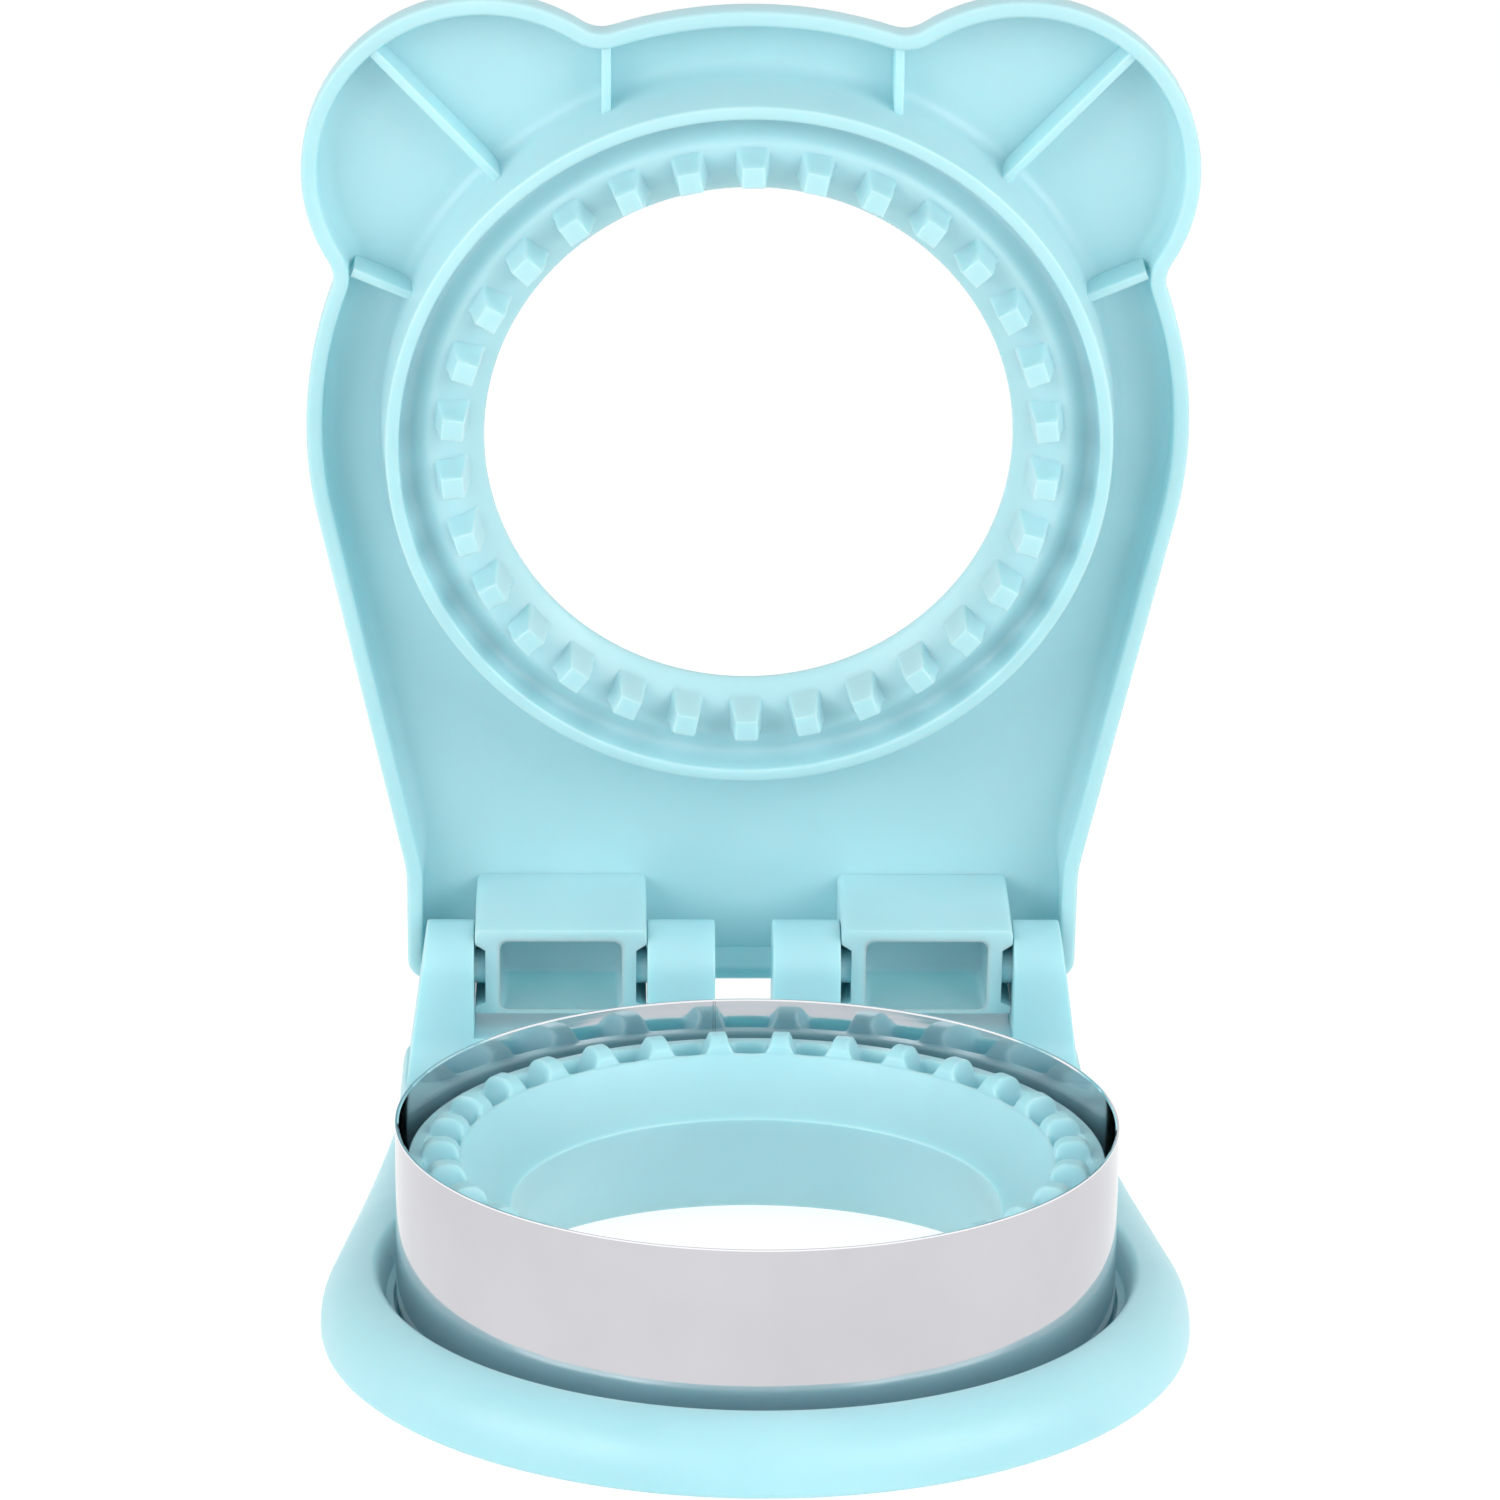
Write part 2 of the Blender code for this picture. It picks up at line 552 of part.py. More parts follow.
def make_base():
    """Outer shell with the lip round the moat, the seat plate and the hinge posts."""
    outline = shell_outline()
    angles = [math.atan2(place.y, place.x) for place, normal in outline]
    drop = SHELL_RADIUS - GROOVE_RADIUS - LIP_WIDTH
    # The swell of the wall dies out towards the hinge, where the sides stand nearly upright
    shares = [1 - SWELL_LOSS_SHARE * ease(-place.y, SHELL_RADIUS * SWELL_FADE_SHARE,
                                          HINGE_BEHIND - BARREL_RADIUS)
              for place, normal in outline]
    bm = bmesh.new()
    seat_under = SEAT_TOP - SEAT_THICKNESS
    deck_under = LIP_HEIGHT - DECK_SKIN
    loops = [loop_from_outline(bm, outline, SHELL_WALL, 0),
             loop_from_outline(bm, outline, FOOT_ROUND, 0),
             loop_from_outline(bm, outline, 0, FOOT_ROUND)]
    steps = 4
    for step in range(steps + 1):
        turn = math.radians(90 * step / steps)
        height = SWELL_START + (LIP_HEIGHT - SWELL_START) * math.sin(turn)
        loops.append(loop_from_outline(bm, outline, drop * (1 - math.cos(turn)), height, shares))
    lip_round = LIP_WIDTH * LIP_ROUND_SHARE
    for radius, height in ((GROOVE_RADIUS + lip_round, LIP_HEIGHT),
                           (GROOVE_RADIUS, LIP_HEIGHT - lip_round),
                           (GROOVE_RADIUS, GROOVE_FLOOR),
                           (SLOT_RADIUS, GROOVE_FLOOR),
                           (SLOT_RADIUS, SEAT_TOP),
                           (SEAT_HOLE_RADIUS, SEAT_TOP),
                           (SEAT_HOLE_RADIUS, seat_under),
                           (GROOVE_RADIUS + GROOVE_WALL, seat_under),
                           (GROOVE_RADIUS + GROOVE_WALL, deck_under)):
        loops.append(loop_at_angles(bm, angles, radius, height))
    loops.append(loop_from_outline(bm, outline, SHELL_WALL, deck_under))
    close_skin(bm, loops)
    base = finish(bm, "base_shell", plastic("base_plastic", (0.40, 0.80, 0.83), 0.42))
    add_hinge_posts(base)
    holes = []
    for place in screw_places():
        holes.append(post_at("hole", place, SCREW_RADIUS + GAP, -CUT_OVERRUN, SEAT_TOP + CUT_OVERRUN))
    apply_tool(base, join_all("screw_holes", holes), "DIFFERENCE")
    return base


def post_outer_face(height):
    """Half width of the outer posts, drafted from their top to the table."""
    top = HINGE_HEIGHT + BARREL_RADIUS
    return POST_OUTER_TOP_HALF + (SHELL_REAR_HALF - POST_OUTER_TOP_HALF) * (1 - height / top)


def post_profile():
    """Side view of a post: round top, upright back, and a front that flares into the deck."""
    low = LIP_HEIGHT - POST_ROOT
    front = HINGE_BEHIND - BARREL_RADIUS
    points = [(HINGE_BEHIND + BARREL_RADIUS, low)]
    for step in range(13):
        spot = polar(BARREL_RADIUS, 180 * step / 12)
        points.append((HINGE_BEHIND + spot.x, HINGE_HEIGHT + spot.y))
    for step in range(5):
        spot = polar(POST_FILLET, -90 * step / 4)
        points.append((front - POST_FILLET + spot.x, LIP_HEIGHT + POST_FILLET + spot.y))
    points.append((front - POST_FILLET, low))
    return points


def add_hinge_posts(base):
    profile = post_profile()
    blind = PIN_REACH + 2 * GAP
    pieces = []
    cores = []
    holes = []
    ramps = []
    front = HINGE_BEHIND - BARREL_RADIUS
    back = HINGE_BEHIND + BARREL_RADIUS
    core_top = HINGE_HEIGHT - PIN_RADIUS - GAP - POST_WALL - ROOT
    for side in (-1, 1):
        pieces.append(prism("post", profile, side * LUG_TO_POST,
                            lambda y, z, side=side: side * post_outer_face(z), "x"))
        pieces.append(prism("post", profile, side * CENTRE_GAP_HALF, side * POST_IN, "x"))
        outer_core = post_outer_face(core_top) - POST_WALL
        cores.append(post_core(side * (LUG_TO_POST + POST_WALL), side * outer_core, core_top))
        cores.append(post_core(side * (CENTRE_GAP_HALF + POST_WALL),
                               side * (POST_IN - POST_WALL), core_top))
        holes.append(pin("hole", PIN_RADIUS + GAP, side * (LUG_TO_POST - GAP),
                         side * (LUG_TO_POST + blind), HINGE_BEHIND, HINGE_HEIGHT))
        holes.append(pin("hole", PIN_RADIUS + GAP, side * (POST_IN + GAP),
                         side * (POST_IN - blind), HINGE_BEHIND, HINGE_HEIGHT))
        ramps.append(lead_in(side * LUG_TO_POST, side))
        ramps.append(lead_in(side * POST_IN, -side))
    web_back = back - WEB_SETBACK
    fillet = WEB_HEIGHT - LIP_HEIGHT
    web = [(web_back, LIP_HEIGHT - POST_ROOT), (web_back, WEB_HEIGHT)]
    for step in range(5):
        spot = polar(fillet, 90 - 90 * step / 4)
        web.append((front - fillet + spot.y, WEB_HEIGHT - spot.x))
    web.append((front - fillet, LIP_HEIGHT - POST_ROOT))
    reach = LUG_TO_POST + POST_WALL / 2
    apply_tool(base, prism("hinge_web", web, -reach, reach, "x"), "UNION")
    apply_tool(base, join_all("hinge_posts", pieces), "UNION")
    inside = LUG_TO_POST - POST_WALL
    web_core = box("web_core", (-inside, front + POST_WALL, -CUT_OVERRUN),
                   (inside, web_back - POST_WALL, WEB_HEIGHT - POST_WALL))
    apply_tool(base, web_core, "DIFFERENCE")
    apply_tool(base, join_all("post_cores", cores), "DIFFERENCE")
    apply_tool(base, join_all("pin_holes", holes), "DIFFERENCE")
    apply_tool(base, join_all("lead_ins", ramps), "DIFFERENCE")


def post_core(x_low, x_high, top):
    """Pocket moulded into a post from below."""
    low, high = sorted((x_low, x_high))
    front = HINGE_BEHIND - BARREL_RADIUS + POST_WALL + ROOT
    back = HINGE_BEHIND + BARREL_RADIUS - POST_WALL
    return box("core", (low, front, -CUT_OVERRUN), (high, back, top))


def lead_in(face, side):
    """Ramp in a post's face, deepest at the top, that guides a pin down to its hole."""
    top = HINGE_HEIGHT + BARREL_RADIUS + CUT_OVERRUN
    slope = LEAD_IN_DEPTH / (BARREL_RADIUS - PIN_RADIUS)
    low = HINGE_HEIGHT + PIN_RADIUS
    deep = (top - low) * slope
    half = PIN_RADIUS + GAP
    bm = bmesh.new()
    corners = ((face - side * GAP, low), (face, low),
               (face + side * deep, top), (face - side * GAP, top))
    rings = [[bm.verts.new((x, HINGE_BEHIND + y, z)) for x, z in corners] for y in (-half, half)]
    skin(bm, rings[0], rings[1])
    bm.faces.new(rings[0])
    bm.faces.new(rings[1])
    return finish(bm, "ramp", None)


# Lid: built shut in its own frame, with the ring's centre as origin and heights from the ridge

def lid_shell_loops(bm, outline, shares):
    """Rings of the skirt from the floor, round the rim, to the top face."""
    top = LID_FLOOR_LEVEL + LID_SKIN
    start = LID_RIM_LEVEL + LID_SIDE_STRAIGHT
    fillet = LID_FLOOR_FILLET
    mid_in, mid_down = FILLET_MID_SHARES
    # The fillet inside the skirt dies out towards the hinge's tight corners
    lose = fillet / (LID_RIM_WIDTH + fillet)
    rear_shares = [1 - lose * ease(-place.y, LID_RADIUS, HINGE_BEHIND - LID_REAR)
                   for place, normal in outline]
    lose = fillet * mid_in / (LID_RIM_WIDTH + fillet * mid_in)
    mid_shares = [1 - lose * ease(-place.y, LID_RADIUS, HINGE_BEHIND - LID_REAR)
                  for place, normal in outline]
    loops = [loop_from_outline(bm, outline, LID_RIM_WIDTH + fillet, LID_FLOOR_LEVEL, rear_shares),
             loop_from_outline(bm, outline, LID_RIM_WIDTH + fillet * mid_in,
                               LID_FLOOR_LEVEL - fillet * mid_down, mid_shares)]
    places = [
        (LID_RIM_WIDTH, LID_RIM_LEVEL + LID_RIM_ROUND),
        (LID_RIM_WIDTH - LID_RIM_ROUND, LID_RIM_LEVEL),
        (LID_RIM_ROUND, LID_RIM_LEVEL),
        (0, LID_RIM_LEVEL + LID_RIM_ROUND),
    ]
    loops += [loop_from_outline(bm, outline, inset, height) for inset, height in places]
    steps = 4
    for step in range(steps + 1):
        turn = math.radians(90 * step / steps)
        height = start + (top - start) * math.sin(turn)
        inset = LID_EDGE_ROUND * (1 - math.cos(turn))
        loops.append(loop_from_outline(bm, outline, inset, height, shares))
    return loops


def lid_ring_loops(bm, columns):
    """Rings from the top face, over the hole's edge and the teeth, to the ridge and the floor."""
    top = LID_FLOOR_LEVEL + LID_SKIN
    hole_top = LID_HOLE_LEVEL + LID_HOLE_EDGE
    slope = (LID_HOLE_LEVEL - CREST_LEVEL) / (LID_TOOTH_OUT + CHANNEL_ROUND - LID_HOLE_RADIUS)

    def valley(radius):
        return LID_HOLE_LEVEL - slope * (radius - LID_HOLE_RADIUS)

    dish = DISH_RADIUS - LID_HOLE_RADIUS
    tooth_in = LID_TOOTH_IN + LID_TOOTH_ROUND
    tooth_out = LID_TOOTH_OUT - LID_TOOTH_ROUND
    outer_face = [(DISH_RADIUS - dish * inwards, top - (top - hole_top) * downwards)
                  for inwards, downwards in DISH_SHARES]
    high, low, wide = HOLE_EDGE_SHARES
    crest = -LID_TOOTH_PROUD
    toothed = [
        (LID_HOLE_RADIUS + LID_HOLE_EDGE, *[hole_top + LID_HOLE_EDGE * high] * 2),
        (LID_HOLE_RADIUS, *[hole_top - LID_HOLE_EDGE * low] * 2),
        (LID_HOLE_RADIUS + LID_HOLE_EDGE * wide, *[LID_HOLE_LEVEL] * 2),
        (LID_TOOTH_IN - LID_TOOTH_ROUND, *[valley(LID_TOOTH_IN)] * 2),
        (LID_TOOTH_IN, valley(LID_TOOTH_IN), crest + LID_TOOTH_ROUND),
        (tooth_in, valley(tooth_in), crest),
        (tooth_out, valley(tooth_out), crest),
        (LID_TOOTH_OUT, valley(LID_TOOTH_OUT), crest + LID_TOOTH_ROUND),
        (LID_TOOTH_OUT + CHANNEL_ROUND, *[CREST_LEVEL] * 2),
    ]
    outside = RIDGE_RADIUS + RIDGE_WIDTH
    foot = outside + RIDGE_DRAFT
    ridge = [(RIDGE_RADIUS - (CHANNEL_WIDTH - CHANNEL_ROUND) * inwards,
              CREST_LEVEL + (CHANNEL_DEPTH - CREST_LEVEL) * downwards)
             for inwards, downwards in CHANNEL_SHARES]
    ridge += [
        (RIDGE_RADIUS - CHANNEL_ROUND / 2, CHANNEL_DEPTH),
        (RIDGE_RADIUS, CHANNEL_DEPTH - CHANNEL_ROUND),
        (RIDGE_RADIUS, RIDGE_ROUND),
        (RIDGE_RADIUS + RIDGE_ROUND, 0),
        (outside - RIDGE_ROUND, 0),
        (outside, RIDGE_ROUND),
        (foot, LID_FLOOR_LEVEL - CHANNEL_ROUND),
        (foot + CHANNEL_ROUND, LID_FLOOR_LEVEL),
    ]
    return [turned_loop(bm, columns, *spot) for spot in outer_face + toothed + ridge]


def make_lid():
    outline = lid_outline()
    # The rounded top edge is full size round the head and small at the hinge
    shares = [1 - EDGE_LOSS_SHARE * ease(-place.y, LID_RADIUS * EDGE_FADE_SHARE,
                                         HINGE_BEHIND - LID_REAR)
              for place, normal in outline]
    bm = bmesh.new()
    shell = lid_shell_loops(bm, outline, shares)
    for first, second in zip(shell, shell[1:]):
        skin(bm, first, second)
    rings = lid_ring_loops(bm, tooth_angles(math.pi / 2))
    for first, second in zip(rings, rings[1:]):
        skin(bm, first, second)
    fill_between(bm, shell[-1], rings[0])
    fill_between(bm, shell[0], rings[-1])
    lid = finish(bm, "lid", plastic("lid_plastic", (0.40, 0.80, 0.83), 0.42))
    apply_tool(lid, join_all("lid_ribs", lid_ribs()), "UNION")
    add_lugs(lid)
    return lid


def rib(start, end):
    """Upright rib between two plan places, from the floor down to near the rim."""
    along = (end - start).normalized()
    across = Vector((-along.y, along.x)) * (RIB_THICKNESS / 2)
    corners = (start + across, start - across, end - across, end + across)
    points = [(corner.x, -corner.y) for corner in corners]
    return prism("rib", points, RIB_LEVEL, LID_FLOOR_LEVEL + ROOT / 2, "z")


def lid_ribs():
    """Three ribs a side: across the ear, and one at each notch beside it."""
    inside = RIDGE_RADIUS + RIDGE_WIDTH * RIB_ROOT_SHARE
    into_rim = LID_RIM_WIDTH - ROOT / 2
    outside = LID_RADIUS - into_rim
    ear_tip = LID_RADIUS - EAR_SINK + EAR_RADIUS - into_rim
    ear_way = polar(1, EAR_RIB_DEG)
    side_way = polar(1, SIDE_RIB_DEG)
    top_side = LID_RADIUS * math.cos(math.radians(TOP_RIB_DEG))
    lines = (
        (ear_way * inside, ear_way * ear_tip),
        (side_way * inside, side_way * outside),
        (Vector((top_side, math.sqrt(inside ** 2 - top_side ** 2))),
         Vector((top_side, math.sqrt(outside ** 2 - top_side ** 2)))),
    )
    ribs = []
    for side in (-1, 1):
        for start, end in lines:
            ribs.append(rib(Vector((side * start.x, start.y)), Vector((side * end.x, end.y))))
    return ribs


def lug_outline(side):
    """Plan of a lug with a notch in each end, where the pins stand."""
    front = HINGE_BEHIND - LUG_FRONT
    rear = HINGE_BEHIND + LID_REAR - ROOT
    low = HINGE_BEHIND - LUG_NOTCH_HALF
    high = HINGE_BEHIND + LUG_NOTCH_HALF
    left, right = LUG_IN, LUG_OUT
    step = LUG_NOTCH_DEPTH
    cut = LUG_ROUND
    points = [(left, front + cut), (left + cut, front), (right - cut, front), (right, front + cut),
              (right, low - cut), (right - step, low), (right - step, high), (right, high + cut),
              (right, rear - cut), (right - cut, rear), (left + cut, rear), (left, rear - cut),
              (left, high + cut), (left + step, high), (left + step, low), (left, low - cut)]
    return [(side * x, y) for x, y in points]


def add_lugs(lid):
    """Two open boxes with a pin at each end, which hang between the base's posts."""
    axis = -RIDGE_OVER_AXIS
    low = axis - LUG_DROP
    lugs = []
    pockets = []
    pins = []
    wall = LUG_NOTCH_DEPTH + LUG_SIDE_WALL
    for side in (-1, 1):
        lugs.append(prism("lug", lug_outline(side), low, LID_FLOOR_LEVEL + ROOT, "z"))
        plan = rounded_rectangle((LUG_IN + wall, HINGE_BEHIND - LUG_FRONT + LUG_FRONT_WALL),
                                 (LUG_OUT - wall, HINGE_BEHIND + LID_REAR - LUG_REAR_WALL),
                                 LUG_ROUND)
        pockets.append(prism("pocket", [(side * x, y) for x, y in plan], low - CUT_OVERRUN,
                             LID_FLOOR_LEVEL + LID_SKIN - POCKET_BACK_SKIN, "z"))
        pins.append(pin("pin", PIN_RADIUS, side * (LUG_OUT - wall + ROOT),
                        side * (LUG_TO_POST + PIN_REACH), HINGE_BEHIND, axis))
        pins.append(pin("pin", PIN_RADIUS, side * (LUG_IN + wall - ROOT),
                        side * (POST_IN - PIN_REACH), HINGE_BEHIND, axis))
    apply_tool(lid, join_all("lid_lugs", lugs), "UNION")
    apply_tool(lid, join_all("lug_pockets", pockets), "DIFFERENCE")
    apply_tool(lid, join_all("hinge_pins", pins), "UNION")


def seat_lid(lid, assembly):
    """Put the lid's frame on the hinge axis and swing it to where it rests."""
    hinge = bpy.data.objects.new("lid_hinge", None)
    bpy.context.scene.collection.objects.link(hinge)
    hinge.parent = assembly
    hinge.location = (0, HINGE_BEHIND, HINGE_HEIGHT)
    hinge.rotation_euler = (math.radians(-REST_OPEN_DEG), 0, 0)
    for obj in [lid] + [modifier.object for modifier in lid.modifiers]:
        obj.parent = hinge
        obj.location = (0, -HINGE_BEHIND, RIDGE_OVER_AXIS)


def world_corners(pieces):
    """Lowest and highest corner of the finished pieces."""
    bpy.context.view_layer.update()
    graph = bpy.context.evaluated_depsgraph_get()
    low = Vector((math.inf,) * 3)
    high = Vector((-math.inf,) * 3)
    for piece in pieces:
        ready = piece.evaluated_get(graph)
        mesh = ready.to_mesh()
        for vert in mesh.vertices:
            spot = ready.matrix_world @ vert.co
            low = Vector(map(min, low, spot))
            high = Vector(map(max, high, spot))
        ready.to_mesh_clear()
    return low, high


def build():
    for obj in list(bpy.data.objects):
        bpy.data.objects.remove(obj, do_unlink=True)
    assembly = bpy.data.objects.new("sandwich_cutter", None)
    bpy.context.scene.collection.objects.link(assembly)
    fixed = [make_base(), make_insert(), make_cutter_ring()] + make_screws()
    for piece in fixed:
        for obj in [piece] + [modifier.object for modifier in piece.modifiers]:
            obj.parent = assembly
    lid = make_lid()
    seat_lid(lid, assembly)
    low, high = world_corners(fixed + [lid])
    middle = (low + high) / 2
    assembly.location = (-middle.x, -middle.y, -low.z)
    bpy.context.view_layer.update()
    print("box %s %s" % (tuple(round(v, 5) for v in low), tuple(round(v, 5) for v in high)))
    print("shift back %.5f" % -middle.y)


build()
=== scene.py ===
# Sandwich cutter and sealer, open on a table: moulded base, steel cutting band, toothed lid on a snap hinge.
# Sizes are millimetres. Base pieces are built round the middle of the steel band, on the table, back is +Y.
# The lid is built shut, with heights counted from its ridge, and then swung open round the hinge pins.
import json
import math

import bmesh
import bpy
from mathutils import Matrix, Vector


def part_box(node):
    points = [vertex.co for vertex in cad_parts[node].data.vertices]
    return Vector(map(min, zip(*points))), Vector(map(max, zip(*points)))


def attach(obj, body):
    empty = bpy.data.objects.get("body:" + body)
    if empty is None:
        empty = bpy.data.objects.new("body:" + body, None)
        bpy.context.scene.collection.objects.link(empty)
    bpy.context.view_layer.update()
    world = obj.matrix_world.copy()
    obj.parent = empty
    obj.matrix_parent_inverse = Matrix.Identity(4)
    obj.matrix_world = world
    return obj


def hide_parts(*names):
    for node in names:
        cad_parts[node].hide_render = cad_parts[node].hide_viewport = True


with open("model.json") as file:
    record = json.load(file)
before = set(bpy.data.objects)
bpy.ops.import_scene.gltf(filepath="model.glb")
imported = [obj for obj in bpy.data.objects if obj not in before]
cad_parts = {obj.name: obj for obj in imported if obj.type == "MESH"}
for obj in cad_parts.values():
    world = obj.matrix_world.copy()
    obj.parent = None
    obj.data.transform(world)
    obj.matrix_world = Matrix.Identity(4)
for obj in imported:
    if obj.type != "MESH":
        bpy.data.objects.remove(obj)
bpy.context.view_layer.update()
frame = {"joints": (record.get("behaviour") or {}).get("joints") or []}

bandLow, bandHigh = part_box("cutter_ring")
bandCentre = Vector(((bandLow.x + bandHigh.x) / 2, (bandLow.y + bandHigh.y) / 2, 0))
hinge = {
    "behind": (Vector(frame["joints"][0]["pos_m"]).y - bandCentre.y) * 1000,
    "height": frame["joints"][0]["pos_m"][2] * 1000,
    "openDeg": 81.5,          # from shut to where it stands
    "ridgeOverPins": 1.5,
    "barrel": 6.7,
    "pin": 2.5,
    "pinReach": 2.4,
    "gap": 0.3,
}
millimetres = Matrix.Scale(0.001, 4)
baseMatrix = Matrix.Translation(bandCentre) @ millimetres
lidMatrix = (baseMatrix @ Matrix.Translation((0, hinge["behind"], hinge["height"]))
             @ Matrix.Rotation(math.radians(-hinge["openDeg"]), 4, "X")
             @ Matrix.Translation((0, -hinge["behind"], hinge["ridgeOverPins"])))


def hexColour(text):
    parts = [int(text[i:i + 2], 16) / 255 for i in (1, 3, 5)]
    return tuple(c / 12.92 if c <= 0.04045 else ((c + 0.055) / 1.055) ** 2.4 for c in parts) + (1,)


def addNode(tree, kind, links=None, **settings):
    node = tree.nodes.new(kind)
    for name, value in settings.items():
        setattr(node, name, value)
    for name, value in (links or {}).items():
        if isinstance(value, bpy.types.NodeSocket):
            tree.links.new(value, node.inputs[name])
        else:
            node.inputs[name].default_value = value
    return node


def polar(radius, degrees):
    a = math.radians(degrees)
    return Vector((radius * math.cos(a), radius * math.sin(a)))


def soft(value):
    v = min(max(value, 0.0), 1.0)
    return v * v * (3 - 2 * v)


def bezier(a, b, c, steps):
    a, b, c = Vector(a), Vector(b), Vector(c)
    return [tuple(a * (1 - t) ** 2 + b * 2 * t * (1 - t) + c * t * t)
            for t in (i / steps for i in range(steps + 1))]


# Outlines are (sideways, forwards) places with their outward normals, and forwards is -Y
def arcRun(centre, radius, start, end, spacing, hollow=False):
    steps = max(3, round(abs(math.radians(end - start)) * radius / spacing))
    run = []
    for i in range(steps + 1):
        way = polar(1, start + (end - start) * i / steps)
        run.append((Vector(centre) + way * radius, -way if hollow else way))
    return run


def straightRun(start, end, normal, spacing):
    steps = max(2, round((end - start).length / spacing))
    return [(start.lerp(end, i / steps), normal) for i in range(1, steps)]


def flankRun(size, rear, spacing):
    lean = polar(1, -size["flankDeg"])
    hipX = size["rearHalf"] + size["hip"]
    hipY = (size["radius"] + size["hip"] - hipX * lean.x) / lean.y
    side = arcRun((hipX, hipY), size["hip"], 180 - size["flankDeg"], 180, spacing, hollow=True)
    corner = size["corner"]
    turn = arcRun((size["rearHalf"] - corner, corner - rear), corner, 0, -90, spacing / 3)
    run = straightRun(lean * size["radius"], side[0][0], lean, spacing) + side
    run += straightRun(side[-1][0], turn[0][0], Vector((1, 0)), spacing) + turn
    return run + straightRun(turn[-1][0], Vector((0, -rear)), Vector((0, -1)), spacing)


def mirrorRun(right, rear):
    left = [(Vector((-p.x, p.y)), Vector((-n.x, n.y))) for p, n in reversed(right[1:])]
    return right + [(Vector((0, -rear)), Vector((0, -1)))] + left


def outlineLoop(bm, outline, inset, height, shares=None):
    loop = []
    for i, (p, n) in enumerate(outline):
        spot = p - n * inset * (shares[i] if shares else 1)
        loop.append(bm.verts.new((spot.x, -spot.y, height)))
    return loop


def circleLoop(bm, angles, radius, height):
    return [bm.verts.new((radius * math.cos(a), -radius * math.sin(a), height)) for a in angles]


def skin(bm, loops, closed=False):
    pairs = list(zip(loops, loops[1:]))
    if closed:
        pairs.append((loops[-1], loops[0]))
    for first, second in pairs:
        n = len(first)
        for i in range(n):
            j = (i + 1) % n
            bm.faces.new((first[i], first[j], second[j], second[i]))


def fillBetween(bm, outer, inner):
    edges = []
    for loop in (outer, inner):
        for i, vert in enumerate(loop):
            pair = (vert, loop[(i + 1) % len(loop)])
            edges.append(bm.edges.get(pair) or bm.edges.new(pair))
    bmesh.ops.triangle_fill(bm, use_beauty=True, use_dissolve=False, edges=edges)


def makeObject(bm, name, sharpDeg=35):
    bmesh.ops.recalc_face_normals(bm, faces=bm.faces)
    mesh = bpy.data.meshes.new(name)
    bm.to_mesh(mesh)
    bm.free()
    mesh.shade_smooth()
    mesh.set_sharp_from_angle(angle=math.radians(sharpDeg))
    obj = bpy.data.objects.new(name, mesh)
    bpy.context.scene.collection.objects.link(obj)
    return obj


def prism(name, points, low, high, axis, edge=0.0):
    # a flat outline run along x (points are y, z) or z (points are x, y), its long rims rounded by edge
    bm = bmesh.new()
    rings = []
    for level in (low, high):
        ring = []
        for a, b in points:
            along = level(a, b) if callable(level) else level
            ring.append(bm.verts.new((along, a, b) if axis == "x" else (a, b, along)))
        rings.append(ring)
    skin(bm, rings)
    caps = [bm.faces.new(rings[0]), bm.faces.new(rings[1])]
    if edge:
        bmesh.ops.recalc_face_normals(bm, faces=bm.faces)
        rims = list({e for cap in caps for e in cap.edges})
        bmesh.ops.bevel(bm, geom=rims, offset=edge, segments=3, profile=0.5, affect="EDGES")
    return makeObject(bm, name)


def roundedPoints(corners, radius, steps=5):
    # corners of a flat shape, each one rounded; radius may be a list with one value for each corner
    radii = radius if isinstance(radius, (list, tuple)) else [radius] * len(corners)
    points = []
    for i, corner in enumerate(corners):
        here = Vector(corner)
        before = (Vector(corners[i - 1]) - here).normalized()
        after = (Vector(corners[(i + 1) % len(corners)]) - here).normalized()
        half = before.angle(after) / 2
        cut = radii[i] / math.tan(half)
        if radii[i] <= 0:
            points.append(tuple(here))
            continue
        centre = here + (before + after).normalized() * (radii[i] / math.sin(half))
        a = here + before * cut - centre
        b = here + after * cut - centre
        turn = math.atan2(a.x * b.y - a.y * b.x, a.dot(b))
        for k in range(steps + 1):
            t = turn * k / steps
            points.append((centre.x + a.x * math.cos(t) - a.y * math.sin(t),
                           centre.y + a.x * math.sin(t) + a.y * math.cos(t)))
    return points


def roundBar(name, radius, x0, x1, y, z, edge=0.0):
    points = [(y + radius * math.cos(a), z + radius * math.sin(a))
              for a in (2 * math.pi * i / 40 for i in range(40))]
    return prism(name, points, x0, x1, "x", edge)


def joined(name, pieces):
    bm = bmesh.new()
    for piece in pieces:
        bm.from_mesh(piece.data)
        bpy.data.objects.remove(piece, do_unlink=True)
    return makeObject(bm, name)


def combine(target, tool, operation, sharpDeg=35):
    modifier = target.modifiers.new("cut", "BOOLEAN")
    modifier.operation = operation
    modifier.object = tool
    modifier.solver = "EXACT"
    graph = bpy.context.evaluated_depsgraph_get()
    mesh = bpy.data.meshes.new_from_object(target.evaluated_get(graph))
    target.modifiers.clear()
    old = target.data
    target.data = mesh
    mesh.name = target.name
    bpy.data.meshes.remove(old)
    bpy.data.objects.remove(tool, do_unlink=True)
    mesh.shade_smooth()
    mesh.set_sharp_from_angle(angle=math.radians(sharpDeg))


def weldSlivers(mesh, distance=0.0005):
    # the cuts leave a few needle faces, thinner than half a micrometre
    bm = bmesh.new()
    bm.from_mesh(mesh)
    bmesh.ops.remove_doubles(bm, verts=bm.verts, dist=distance)
    bmesh.ops.dissolve_degenerate(bm, edges=bm.edges, dist=distance)
    bm.to_mesh(mesh)
    bm.free()


